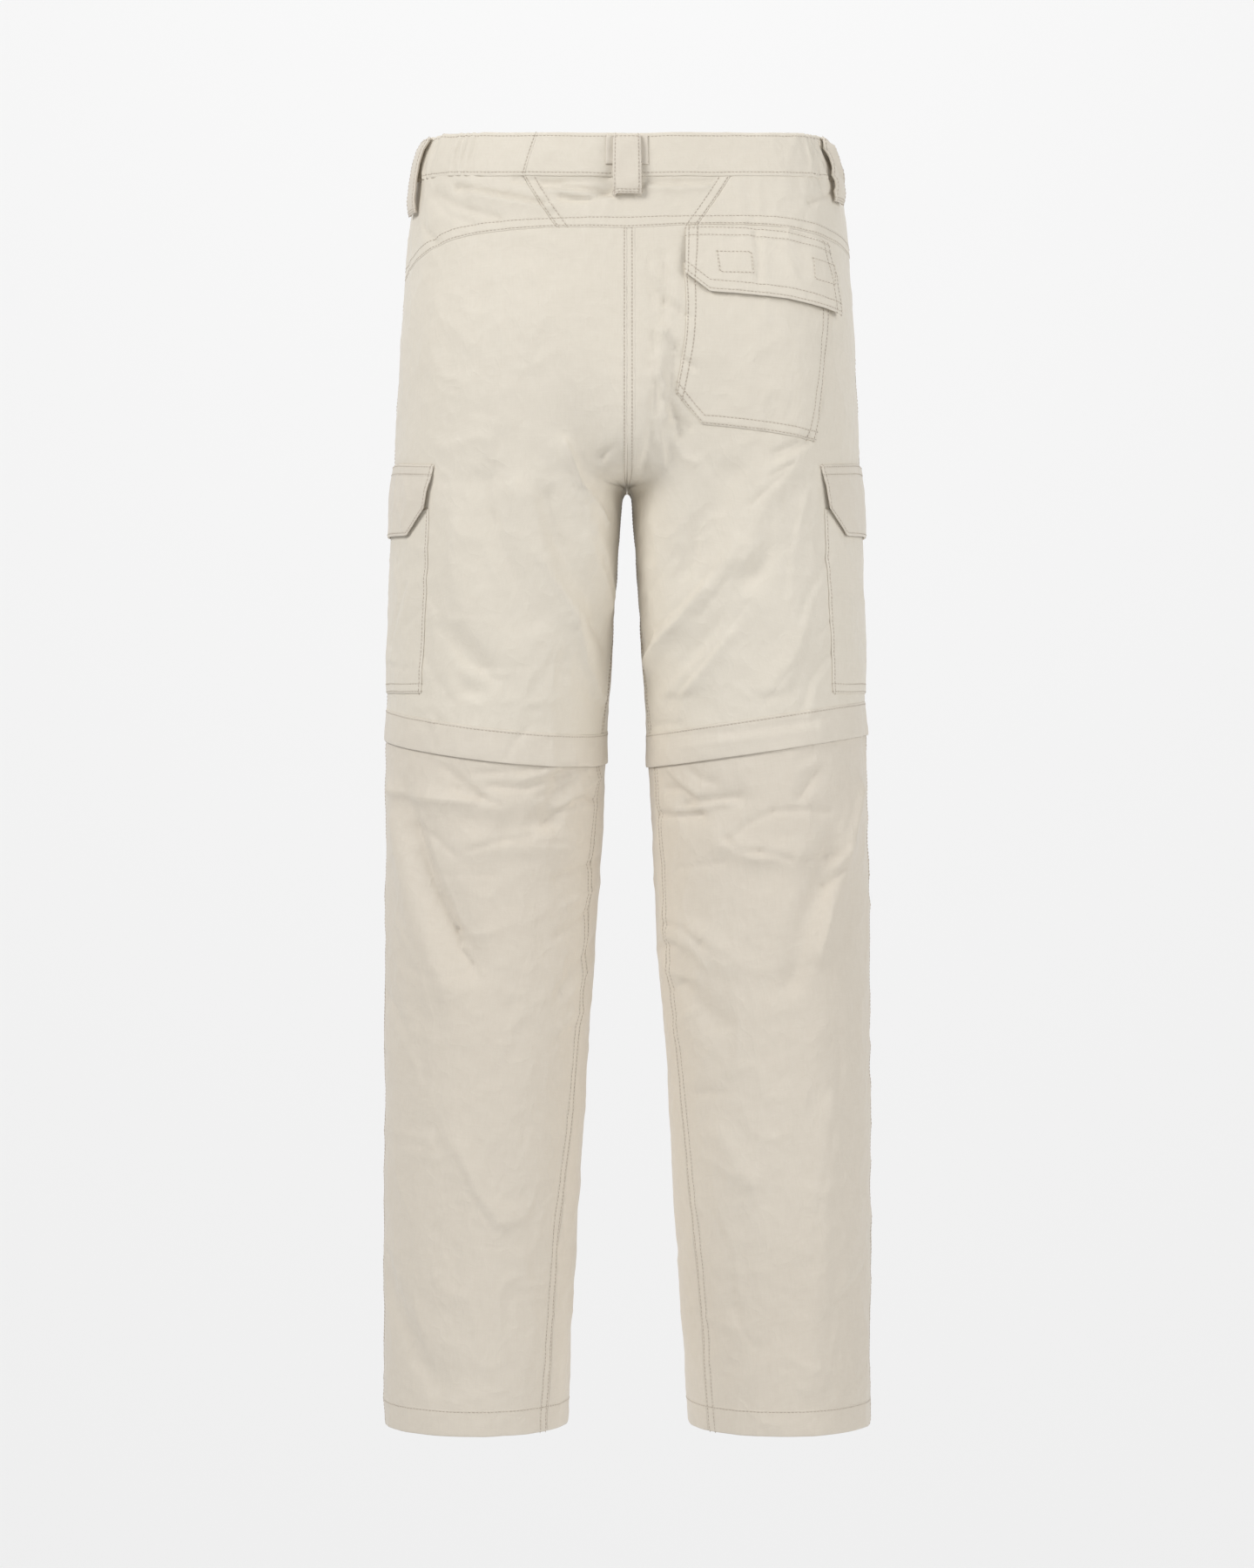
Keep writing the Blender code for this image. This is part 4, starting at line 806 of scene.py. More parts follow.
    def relief(self, leg: Points, turn: Points, height: Points) -> Points:
        """How far folds, creases and crumples lift the cloth.

        Args:
            leg: 1 on the left and -1 on the right.
            turn: Turns round the leg.
            height: Heights.

        Returns:
            Millimetres off the unfolded surface, less than nothing in a trough.
        """
        place = self.from_side(turn, height)
        around = self.from_side(1.0, height) - self.from_side(0.0, height)
        leg, place, height, around = np.broadcast_arrays(leg, place, height, around)
        folds = self.folded(FOLDS, self.fold_rate, leg, place, height, around)
        free = [crease for crease in CREASES if not crease.pressed]
        folds += self.folded(free, self.crease_rate, leg, place, height, around)
        from_seam = np.minimum(turn, 1.0 - turn) * self.trunk_girth / 2.0
        from_seam = from_seam + np.maximum(self.crotch - height, 0.0)
        folds *= ease(from_seam / self.seam_fade)
        for flat in FLATS:
            past = np.maximum(flat.start - place, place - flat.end)
            past = np.maximum(past, np.maximum(height - flat.top, flat.bottom - height))
            kept = ease(past / flat.ease_off)
            folds = np.where(leg == flat.side.value, folds * kept, folds)
        pressed = [crease for crease in CREASES if crease.pressed]
        folds += self.folded(pressed, self.crease_rate, leg, place, height, around)
        points = self.smooth(leg, turn, height)
        rough = sum(layer.lift(points) for layer in self.crumples)
        low = ease((self.crotch + self.rough_fade - height) / self.rough_fade)
        return folds + rough * np.maximum(ease(from_seam / self.rough_fade), 1.0 - low)

    def folded(self, folds: Sequence[Fold], rate: float, leg: Points, place: Points,
               height: Points, around: Points) -> Points:
        """How far a list of folds lifts the cloth.

        Args:
            folds: The folds.
            rate: Share of their height that is used.
            leg: 1 on the left and -1 on the right.
            place: Lengths of cloth from the side seam.
            height: Heights.
            around: The whole length of cloth round the leg at those heights.

        Returns:
            Millimetres, one for each point.
        """
        lift = np.zeros(height.shape)
        for fold in folds:
            ends = (fold.start_height, fold.middle_height, fold.end_height)
            reach = fold.width * self.fold_reach
            near = (height < max(ends) + reach) & (height > min(ends) - reach)
            near &= leg == fold.side.value
            if not near.any():
                continue
            at, level, whole = place[near], height[near], around[near]
            first = stretch(at, level, whole, (fold.start, fold.start_height),
                            (fold.middle, fold.middle_height))
            second = stretch(at, level, whole, (fold.middle, fold.middle_height),
                             (fold.end, fold.end_height))
            off = np.minimum(first, second) / fold.width**2
            if isinstance(fold, Crease):
                off = np.sqrt(off / self.crease_spread**2 + self.crease_round)
                off = off * self.crease_fall
            lift[near] += fold.lift * rate * np.exp(-off)
        return lift

    def cloth(self, leg: Points, turn: Points, height: Points, lift: Points = 0.0) -> Points:
        """Points of the folded cloth, lifted off its outer face."""
        leg, turn, height = np.broadcast_arrays(leg, np.asarray(turn, float), height)
        rise = lift + self.relief(leg, turn, height)
        away = self.outward(leg, turn, height)
        return self.smooth(leg, turn, height) + away * np.asarray(rise)[..., None]

    def waist_cloth(self, turn: Points, height: Points, lift: Points = 0.0) -> Points:
        """Cloth points where the turn runs on over the centre seams, left positive."""
        turn = (np.asarray(turn, float) + 1.0) % 2.0 - 1.0
        leg = np.where(turn < 0.0, -1, 1)
        return self.cloth(leg, np.abs(turn), height, lift)

    def waist_rise(self, turn: Points) -> Points:
        """How far the waist is above its middle height, at a turn of either side."""
        plain = np.abs((np.asarray(turn, float) + 1.0) % 2.0 - 1.0)
        return curve(WAIST, "rise", plain)

    def zip_height(self, side: Side, turn: Points) -> Points:
        """Height of the cover strip's top edge."""
        line = ZIPS[side]
        point = self.smooth(side.value, turn, line.height)
        tilt = line.outward * np.abs(point[..., 0]) + line.backward * point[..., 1]
        return line.height + tilt


def stretch(place: Points, height: Points, around: Points, start: tuple[float, float],
            end: tuple[float, float]) -> Points:
    """Square of the distance along the cloth from a straight stretch of a fold.

    Args:
        place: Lengths of cloth from the side seam.
        height: Heights.
        around: The whole length of cloth round the leg at those heights.
        start: Place and height where the stretch starts.
        end: Place and height where it ends.

    Returns:
        The squared distances.
    """
    off = (place - start[0] + around / 2.0) % around - around / 2.0
    run = end[0] - start[0]
    fall = end[1] - start[1]
    along = off * run + (height - start[1]) * fall
    along = np.clip(along / (run * run + fall * fall), 0.0, 1.0)
    return (off - along * run) ** 2 + (height - start[1] - along * fall) ** 2


EDGE_POINTS = (0.7, 1.8)
EDGE_CLEARANCE = 1.4
LEAST_STEPS = 4


def spread(length: float, step: float) -> Points:
    """Shares from 0 to 1 over a length, a step apart and closer at both ends.

    Args:
        length: The length that the shares divide.
        step: The usual distance between them.

    Returns:
        The shares in rising order.
    """
    shares = np.linspace(0.0, 1.0, max(LEAST_STEPS, round(length / step)) + 1)
    extra = np.array(EDGE_POINTS) / length
    clear = extra.max() * EDGE_CLEARANCE
    inner = shares[(shares > clear) & (shares < 1.0 - clear)]
    return np.concatenate(([0.0], extra, inner, 1.0 - extra[::-1], [1.0]))


def show(name: str, data: bpy.types.ID) -> bpy.types.Object:
    """Puts a new object with the given data in the scene."""
    piece = bpy.data.objects.new(name, data)
    bpy.context.scene.collection.objects.link(piece)
    return piece


@dataclass(frozen=True)
class Seam:
    """How one edge of a piece is sewn.

    fold is the width of cloth that is doubled there, rows are the distances of the
    stitch rows from the edge, and roll is how deep the edge turns in.
    """

    fold: float = 0.0
    rows: tuple[float, ...] = ()
    roll: float = 0.35


@dataclass
class ClothSheet:
    """One piece of cloth: a grid of outer points with a thickness inwards."""

    name: str
    points: Points
    thickness: float
    turned: bool = False
    ring: bool = False
    seams: dict[Edge, Seam] = field(default_factory=dict)
    roll_width: float = 0.9
    stitches_above: float = 0.12

    def __post_init__(self) -> None:
        """Measures the cloth from its four edges and rolls the sewn edges in."""
        self.measure()
        sink = np.zeros(self.points.shape[:2])
        for edge, seam in self.seams.items():
            sink += seam.roll * np.exp(-((self.gaps[edge] / self.roll_width) ** 2))
        self.points = self.points - self.normals() * sink[..., None]

    def measure(self) -> None:
        """Sets the distances of every point from the piece's four edges."""
        points = self.points
        down = np.linalg.norm(np.diff(points, axis=0), axis=2)
        down = np.concatenate((np.zeros((1, points.shape[1])), np.cumsum(down, axis=0)))
        side = np.linalg.norm(np.diff(points, axis=1), axis=2)
        none = np.zeros((points.shape[0], 1))
        side = np.concatenate((none, np.cumsum(side, axis=1)), axis=1)
        self.gaps = {
            Edge.TOP: down,
            Edge.BOTTOM: down[-1:] - down,
            Edge.START: side,
            Edge.END: side[:, -1:] - side,
        }
        self.length = float(down[-1].max())
        self.width = float(side[:, -1].max())

    def normals(self) -> Points:
        """Unit vectors out of the cloth at every point."""
        if self.ring:
            wide = np.concatenate((self.points[:, -1:], self.points, self.points[:, :1]), 1)
            across = (wide[:, 2:] - wide[:, :-2]) / 2.0
        else:
            across = np.gradient(self.points, axis=1)
        normal = np.cross(across, -np.gradient(self.points, axis=0))
        normal = normal if self.turned else -normal
        return normal / np.maximum(np.linalg.norm(normal, axis=2, keepdims=True), 1e-9)

    def line(self, edge: Edge, distance: float) -> Points:
        """The points of a line on the cloth that keeps a distance from one edge."""
        gaps = self.gaps[edge]
        places = self.points + self.normals() * self.stitches_above
        if edge in (Edge.TOP, Edge.BOTTOM):
            gaps, places = gaps.T, places.transpose(1, 0, 2)
        if edge in (Edge.BOTTOM, Edge.END):
            gaps, places = gaps[:, ::-1], places[:, ::-1]
        line = np.array([
            [np.interp(distance, gap, place[:, axis]) for axis in range(3)]
            for gap, place in zip(gaps, places)
        ])
        if self.ring and edge in (Edge.TOP, Edge.BOTTOM):
            line = np.concatenate((line, line[:1]))
        return line

    def build(self) -> bpy.types.Object:
        """Makes the piece's object, with its cloth map and its edge distances."""
        rows, columns = self.points.shape[:2]
        count = columns if self.ring else columns - 1
        row, col = np.meshgrid(np.arange(rows - 1), np.arange(count), indexing="ij")
        after = (col + 1) % columns
        quads = np.stack((row * columns + col, row * columns + after,
                          (row + 1) * columns + after, (row + 1) * columns + col), axis=-1)
        quads = quads.reshape(-1, 4)
        quads = quads[:, ::-1] if self.turned else quads
        mesh = bpy.data.meshes.new(self.name)
        mesh.from_pydata((self.points.reshape(-1, 3) * MM).tolist(), [], quads.tolist())
        for edge, gap in self.gaps.items():
            layer = mesh.attributes.new(f"from_{edge.value}", "FLOAT", "POINT")
            layer.data.foreach_set("value", gap.astype(np.float32).ravel())
        flat = np.stack((self.gaps[Edge.START], -self.gaps[Edge.TOP]), axis=-1) * MM
        layer = mesh.uv_layers.new(name="cloth_map")
        corners = flat.reshape(-1, 2)[quads.ravel()]
        layer.data.foreach_set("uv", corners.astype(np.float32).ravel())
        mesh.shade_smooth()
        piece = show(self.name, mesh)
        thicken = piece.modifiers.new("Cloth", "SOLIDIFY")
        thicken.thickness = self.thickness * MM
        thicken.offset = -1.0
        return piece


class Wiring:
    """Adds nodes to one tree and joins them."""

    def __init__(self, tree: bpy.types.NodeTree) -> None:
        """Keeps the tree that is wired."""
        self.tree = tree

    def add(self, kind: str, inputs: dict | None = None, **settings: object) -> bpy.types.Node:
        """Adds one node.

        Args:
            kind: The node's type.
            inputs: Values or other nodes' outputs, by the input's name or number.
            settings: The node's own settings.

        Returns:
            The new node.
        """
        node = self.tree.nodes.new(kind)
        for name, value in settings.items():
            setattr(node, name, value)
        self.feed(node.inputs, inputs or {})
        return node

    def feed(self, sockets: object, values: dict) -> None:
        """Sets inputs to values or links other nodes' outputs to them, by name or number."""
        for name, value in values.items():
            if isinstance(value, bpy.types.NodeSocket):
                self.tree.links.new(value, sockets[name])
            else:
                sockets[name].default_value = value

    def mix(self, factor: object, dark: object, light: object) -> bpy.types.NodeSocket:
        """A colour between two, each a tuple or a node's output."""
        dark, light = ((*c, 1.0) if isinstance(c, tuple) else c for c in (dark, light))
        node = self.add("ShaderNodeMix", {"Factor": factor, "A": dark, "B": light},
                        data_type="RGBA")
        return node.outputs["Result"]

    def math(self, operation: str, *values: object) -> bpy.types.NodeSocket:
        """The output of a Math node with the given operation and values."""
        node = self.add("ShaderNodeMath", dict(enumerate(values)), operation=operation)
        return node.outputs[0]

    def noise(self, place: object, scale: float, detail: float = 2.0,
              rough: float = 0.5) -> bpy.types.NodeSocket:
        """The value of a noise at a place."""
        node = self.add("ShaderNodeTexNoise",
                        {"Vector": place, "Scale": scale, "Detail": detail,
                         "Roughness": rough})
        return node.outputs["Fac"]

    def stretched(self, place: object, scale: object) -> bpy.types.NodeSocket:
        """A place with its axes scaled."""
        node = self.add("ShaderNodeVectorMath", {0: place, 1: scale}, operation="MULTIPLY")
        return node.outputs["Vector"]


def new_material(name: str) -> tuple:
    """A new material, its wiring, its shader's inputs and the place on the object."""
    material = bpy.data.materials.new(name)
    material.use_nodes = True
    wiring = Wiring(material.node_tree)
    place = wiring.add("ShaderNodeTexCoord").outputs["Object"]
    return material, wiring, material.node_tree.nodes["Principled BSDF"].inputs, place


def shader_group(name: str, inputs: dict[str, object], outputs: Sequence[str]) -> tuple:
    """A new shader node group with named inputs and outputs.

    Args:
        name: The group's name.
        inputs: Default values by input name; a None makes a vector input.
        outputs: Names of its value outputs.

    Returns:
        The group, its wiring, its inputs by name and its output node.
    """
    tree = bpy.data.node_groups.new(name, "ShaderNodeTree")
    for key, value in inputs.items():
        kind = "NodeSocketVector" if value is None else "NodeSocketFloat"
        socket = tree.interface.new_socket(key, in_out="INPUT", socket_type=kind)
        if value is not None:
            socket.default_value = value
    for key in outputs:
        tree.interface.new_socket(key, in_out="OUTPUT", socket_type="NodeSocketFloat")
    wiring = Wiring(tree)
    source = wiring.add("NodeGroupInput").outputs
    target = wiring.add("NodeGroupOutput").inputs
    return tree, wiring, source, target


FAR = -50.0


class ClothEffects:
    """Shader effects that all cloth shares: weave, crinkle, tone and sewn edges."""

    def __init__(self) -> None:
        """Builds the four groups once."""
        self.weave = self.build_weave()
        self.crinkle = self.build_crinkle()
        self.tone = self.build_tone()
        self.seam = self.build_seam()

    @staticmethod
    def build_weave() -> bpy.types.NodeTree:
        """Plain weave: crossed threads and uneven thread streaks on the cloth map."""
        tree, w, source, target = shader_group(
            "plain_weave", {"Cloth Map": None, "Thread": 0.0005, "Depth": 0.01},
            ("Height", "Streak"))
        parts = w.add("ShaderNodeSeparateXYZ", {0: source["Cloth Map"]}).outputs
        turns = w.math("DIVIDE", 2.0 * math.pi, source["Thread"])
        warp = w.math("SINE", w.math("MULTIPLY", parts["X"], turns))
        weft = w.math("SINE", w.math("MULTIPLY", parts["Y"], turns))
        crossed = w.math("MULTIPLY", w.math("MULTIPLY", warp, weft), source["Depth"])
        flat_map = source["Cloth Map"]
        across = w.noise(w.stretched(flat_map, (60.0, 900.0, 1.0)), 1.0, 3.0, 0.6)
        upright = w.noise(w.stretched(flat_map, (900.0, 60.0, 1.0)), 1.0, 3.0, 0.6)
        streak = w.math("MULTIPLY", w.math("ADD", across, upright), 0.5)
        slub = w.math("MULTIPLY", w.math("SUBTRACT", streak, 0.5), 0.05)
        w.feed(target, {"Height": w.math("ADD", crossed, slub), "Streak": streak})
        return tree

    @staticmethod
    def build_crinkle() -> bpy.types.NodeTree:
        """Crisp crinkles of a thin dry cloth: bent ridges between flat fields."""
        tree, w, source, target = shader_group(
            "crisp_crinkle", {"Place": None, "Size": 0.02, "Depth": 0.3}, ("Height",))
        scale = w.math("DIVIDE", 1.0, source["Size"])
        joined = w.add("ShaderNodeCombineXYZ", {0: scale, 1: scale,
                                                2: w.math("MULTIPLY", scale, 0.75)})
        scaled = w.stretched(source["Place"], joined.outputs[0])
        bend = w.add("ShaderNodeTexNoise", {"Vector": scaled, "Scale": 0.6,
                                            "Detail": 1.0}).outputs["Color"]
        bent = w.add("ShaderNodeVectorMath", {0: bend, 1: (1.6, 1.6, 1.6), 2: scaled},
                     operation="MULTIPLY_ADD").outputs["Vector"]
        value = w.noise(bent, 1.0, 1.5, 0.45)
        ridge = w.math("ABSOLUTE", w.math("SUBTRACT", value, 0.5))
        ridge = w.math("POWER", w.math("MULTIPLY", ridge, 2.0), 0.8)
        fine = w.math("MULTIPLY", w.noise(bent, 2.7, 2.0), 0.22)
        both = w.math("SUBTRACT", fine, ridge)
        w.feed(target, {"Height": w.math("MULTIPLY", both, source["Depth"])})
        return tree

    @staticmethod
    def build_tone() -> bpy.types.NodeTree:
        """Soft clouds and fine mottling of the dye."""
        tree, w, source, target = shader_group("dye_tone", {"Place": None}, ("Tone",))
        cloud = w.noise(source["Place"], 5.0, 1.0)
        mottle = w.noise(source["Place"], 140.0, 3.0, 0.65)
        both = w.math("ADD", w.math("MULTIPLY", cloud, 0.6), w.math("MULTIPLY", mottle, 0.4))
        w.feed(target, {"Tone": both})
        return tree

    @staticmethod
    def build_seam() -> bpy.types.NodeTree:
        """A doubled edge with two pressed stitch rows and the puckers beside them."""
        tree, w, source, target = shader_group(
            "sewn_edge",
            {"Place": None, "Distance": 100.0, "Fold": 0.0, "Row One": FAR,
             "Row Two": FAR, "Pucker": 0.4},
            ("Height", "Shade"))

        def bell(row: object, width: float) -> object:
            """A soft bell of the distance around a row."""
            off = w.math("DIVIDE", w.math("SUBTRACT", source["Distance"], row), width)
            return w.math("EXPONENT", w.math("MULTIPLY", w.math("MULTIPLY", off, off), -1.0))

        first, second = source["Row One"], source["Row Two"]
        step = w.add("ShaderNodeMapRange",
                     {"Value": w.math("SUBTRACT", source["Distance"], source["Fold"]),
                      "From Min": -0.7, "From Max": 0.7, "To Min": 1.0, "To Max": 0.0},
                     interpolation_type="SMOOTHSTEP").outputs[0]
        rows = w.math("ADD", bell(first, 0.6), bell(second, 0.6))
        near = w.math("ADD", bell(first, 3.6), bell(second, 3.6))
        ripple = w.math("SUBTRACT", w.noise(source["Place"], 210.0, 1.0), 0.5)
        pucker = w.math("MULTIPLY", w.math("MULTIPLY", ripple, near), source["Pucker"])
        height = w.math("MULTIPLY_ADD", step, 0.35, pucker)
        height = w.math("MULTIPLY_ADD", rows, -0.15, height)
        w.feed(target, {"Height": height, "Shade": rows})
        return tree


@dataclass(frozen=True)
class ClothFinish:
    """A dyed nylon cloth: colours in linear light, roughness, sheen and its relief."""

    name: str
    light: tuple[float, float, float]
    dark: tuple[float, float, float]
    slot: str
    roughness: float = 0.6
    sheen: float = 0.22
    crinkle: float = 0.55
    crinkle_size: float = 0.015
    thread: float = 0.0006
    row_shade: float = 0.07
    row_dark: float = 0.72
    sheen_roughness: float = 0.45
    specular: float = 0.32

    def material(self, effects: ClothEffects, sheet: ClothSheet) -> bpy.types.Material:
        """Builds the material for one piece with its own seams.

        Args:
            effects: The shared shader groups.
            sheet: The piece, whose seams are pressed into the finish.

        Returns:
            The new material.
        """
        material, w, shader, place = new_material(f"{sheet.name}_{self.name}")
        flat_map = w.add("ShaderNodeUVMap", uv_map="cloth_map").outputs["UV"]

        def group(tree: bpy.types.NodeTree, inputs: dict[str, object]) -> object:
            """The outputs of a new node that uses one of the shared groups."""
            node = w.add("ShaderNodeGroup", node_tree=tree)
            w.feed(node.inputs, inputs)
            return node.outputs

        weave = group(effects.weave, {"Cloth Map": flat_map, "Thread": self.thread})
        crinkle = group(effects.crinkle, {"Place": place, "Size": self.crinkle_size,
                                          "Depth": self.crinkle})
        tone = group(effects.tone, {"Place": place})
        height = w.math("ADD", weave["Height"], crinkle["Height"])
        shade = None
        for edge, seam in sheet.seams.items():
            if not seam.rows and not seam.fold:
                continue
            gap = w.add("ShaderNodeAttribute", attribute_name=f"from_{edge.value}",
                        attribute_type="GEOMETRY").outputs["Fac"]
            rows = dict(zip(("Row One", "Row Two"), seam.rows))
            sewn = group(effects.seam, {"Place": place, "Distance": gap,
                                        "Fold": seam.fold or FAR, **rows})
            height = w.math("ADD", height, sewn["Height"])
            here = sewn["Shade"]
            shade = here if shade is None else w.math("MAXIMUM", shade, here)
        mixed = w.math("ADD", w.math("MULTIPLY", tone["Tone"], 0.55),
                       w.math("MULTIPLY", weave["Streak"], 0.45))
        mixed = w.add("ShaderNodeMapRange", {"Value": mixed, "From Min": 0.36,
                                             "From Max": 0.64}).outputs[0]
        colour = w.mix(mixed, self.dark, self.light)
        if shade is not None:
            sewn_colour = tuple(part * self.row_dark for part in self.dark)
            factor = w.math("MULTIPLY", shade, self.row_shade * 2.0)
            colour = w.mix(factor, colour, sewn_colour)
        rough = w.add("ShaderNodeMapRange", {"Value": mixed,
                                             "To Min": self.roughness + 0.06,
                                             "To Max": self.roughness - 0.05}).outputs[0]
        bump = w.add("ShaderNodeBump", {"Height": height, "Distance": MM, "Strength": 1.0})
        w.feed(shader, {"Base Color": colour, "Roughness": rough,
                        "Normal": bump.outputs["Normal"], "Sheen Weight": self.sheen,
                        "Sheen Roughness": self.sheen_roughness,
                        "Specular IOR Level": self.specular})
        return material


BEIGE = ClothFinish("beige", (0.764, 0.709, 0.612), (0.712, 0.655, 0.557), "cloth")
BEIGE_LEG = ClothFinish("beige_leg", (0.730, 0.668, 0.574), (0.678, 0.612, 0.518),
                        "lower_cloth")
BEIGE_TRIM = ClothFinish("beige_trim", (0.738, 0.680, 0.586), (0.684, 0.622, 0.530),
                         "trim", crinkle=0.35)


@dataclass(frozen=True)
class ThreadFinish:
    """Spun thread with a slightly pink beige dye."""

    name: str = "sewing_thread"
    light: tuple[float, float, float] = (0.56, 0.49, 0.40)
    dark: tuple[float, float, float] = (0.46, 0.39, 0.32)
    roughness: float = 0.6
    sheen: float = 0.2
    grain: float = 900.0
    relief: float = 0.0002

    def material(self) -> bpy.types.Material:
        """Builds the thread's material."""
        material, w, shader, place = new_material(self.name)
        grain = w.noise(place, self.grain, 2.0)
        bump = w.add("ShaderNodeBump", {"Height": grain, "Distance": self.relief})
        w.feed(shader, {"Base Color": w.mix(grain, self.dark, self.light),
                        "Normal": bump.outputs["Normal"], "Roughness": self.roughness,
                        "Sheen Weight": self.sheen})
        return material


@dataclass
class Stitching:
    """All rows of stitches, made by one Geometry Nodes tree along lines on the cloth."""

    pitch: float = 3.1
    length: float = 2.4
    radius: float = 0.28
    seed: int = 7
    shortest: float = 0.88
    longest: float = 1.1
    lines: list[Points] = field(default_factory=list)

    def follow(self, sheet: ClothSheet) -> None:
        """Adds the stitch rows of a piece's sewn edges."""
        for edge, seam in sheet.seams.items():
            for row in seam.rows:
                self.lines.append(sheet.line(edge, row))

    def add(self, line: Points) -> None:
        """Adds one free row of stitches."""
        self.lines.append(np.asarray(line))

    def tree(self) -> bpy.types.NodeTree:
        """Builds the tree that sets a small stitch at every step of its lines."""
        tree = bpy.data.node_groups.new("rows_of_stitches", "GeometryNodeTree")
        sockets = (("Lines", "NodeSocketGeometry"), ("Pitch", "NodeSocketFloat"),
                   ("Stitch Length", "NodeSocketFloat"), ("Thread Radius", "NodeSocketFloat"),
                   ("Seed", "NodeSocketInt"), ("Finish", "NodeSocketMaterial"))
        for key, kind in sockets:
            tree.interface.new_socket(key, in_out="INPUT", socket_type=kind)
        tree.interface.new_socket("Stitches", in_out="OUTPUT",
                                  socket_type="NodeSocketGeometry")
        w = Wiring(tree)
        source = w.add("NodeGroupInput").outputs
        target = w.add("NodeGroupOutput").inputs
        path = w.add("GeometryNodeMeshToCurve", {"Mesh": source["Lines"]})
        steps = w.add("GeometryNodeResampleCurve", {"Curve": path.outputs[0],
                                                    "Length": source["Pitch"]},
                      mode="LENGTH")
        bead = w.add("GeometryNodeMeshUVSphere", {"Segments": 6, "Rings": 3, "Radius": 1.0})
        tangent = w.add("GeometryNodeInputTangent")
        turned = w.add("FunctionNodeAlignRotationToVector",
                       {"Vector": tangent.outputs[0]}, axis="Z")
        vary = w.add("FunctionNodeRandomValue", {"Min": self.shortest, "Max": self.longest,
                                                 "Seed": source["Seed"]})
        random_length = next(o for o in vary.outputs if o.enabled)
        half = w.math("MULTIPLY", w.math("MULTIPLY", source["Stitch Length"], 0.5),
                      random_length)
        size = w.add("ShaderNodeCombineXYZ", {0: source["Thread Radius"],
                                              1: source["Thread Radius"], 2: half})
        placed = w.add("GeometryNodeInstanceOnPoints",
                       {"Points": steps.outputs[0], "Instance": bead.outputs["Mesh"],
                        "Rotation": turned.outputs[0], "Scale": size.outputs[0]})
        real = w.add("GeometryNodeRealizeInstances", {"Geometry": placed.outputs[0]})
        smooth = w.add("GeometryNodeSetShadeSmooth", {"Geometry": real.outputs[0]})
        dyed = w.add("GeometryNodeSetMaterial", {"Geometry": smooth.outputs[0],
                                                 "Material": source["Finish"]})
        w.tree.links.new(dyed.outputs[0], target["Stitches"])
        return tree

    def build(self, name: str, material: bpy.types.Material) -> None:
        """Makes all stitches as one plain mesh, of the given name and material."""
        points, edges = [], []
        for line in self.lines:
            first = len(points)
            points.extend((line * MM).tolist())
            edges.extend((first + i, first + i + 1) for i in range(len(line) - 1))
        mesh = bpy.data.meshes.new(name + "_lines")
        mesh.from_pydata(points, edges, [])
        piece = show(name, mesh)
        tree = self.tree()
        sewing = piece.modifiers.new("Stitches", "NODES")
        sewing.node_group = tree
        values = {"Pitch": self.pitch * MM, "Stitch Length": self.length * MM,
                  "Thread Radius": self.radius * MM, "Seed": self.seed, "Finish": material}
        for item in tree.interface.items_tree:
            if item.in_out == "INPUT" and item.name in values:
                sewing[item.identifier] = values[item.name]
        evaluated = piece.evaluated_get(bpy.context.evaluated_depsgraph_get())
        plain = bpy.data.meshes.new_from_object(evaluated)
        piece.modifiers.clear()
        piece.data = plain
        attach(piece, BODY)
        log.info("%s: %d rows, %d faces", name, len(self.lines), len(plain.polygons))


@dataclass
class Workroom:
    """What every sub-assembly works with: the form, the effects and the stitching."""

    form: TrouserForm
    effects: ClothEffects
    stitching: Stitching

    def finish(self, sheet: ClothSheet, finish: ClothFinish, node: str, held: Held,
               rests_on: Sequence[str] = ()) -> None:
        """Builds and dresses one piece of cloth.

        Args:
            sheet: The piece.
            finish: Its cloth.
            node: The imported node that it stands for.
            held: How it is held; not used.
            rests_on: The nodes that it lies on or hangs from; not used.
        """
        piece = sheet.build()
        piece.data.materials.append(finish.material(self.effects, sheet))
        self.stitching.follow(sheet)
        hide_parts(node)
        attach(piece, BODY)
        log.info("%s: %.0f x %.0f mm of cloth", sheet.name, sheet.width, sheet.length)


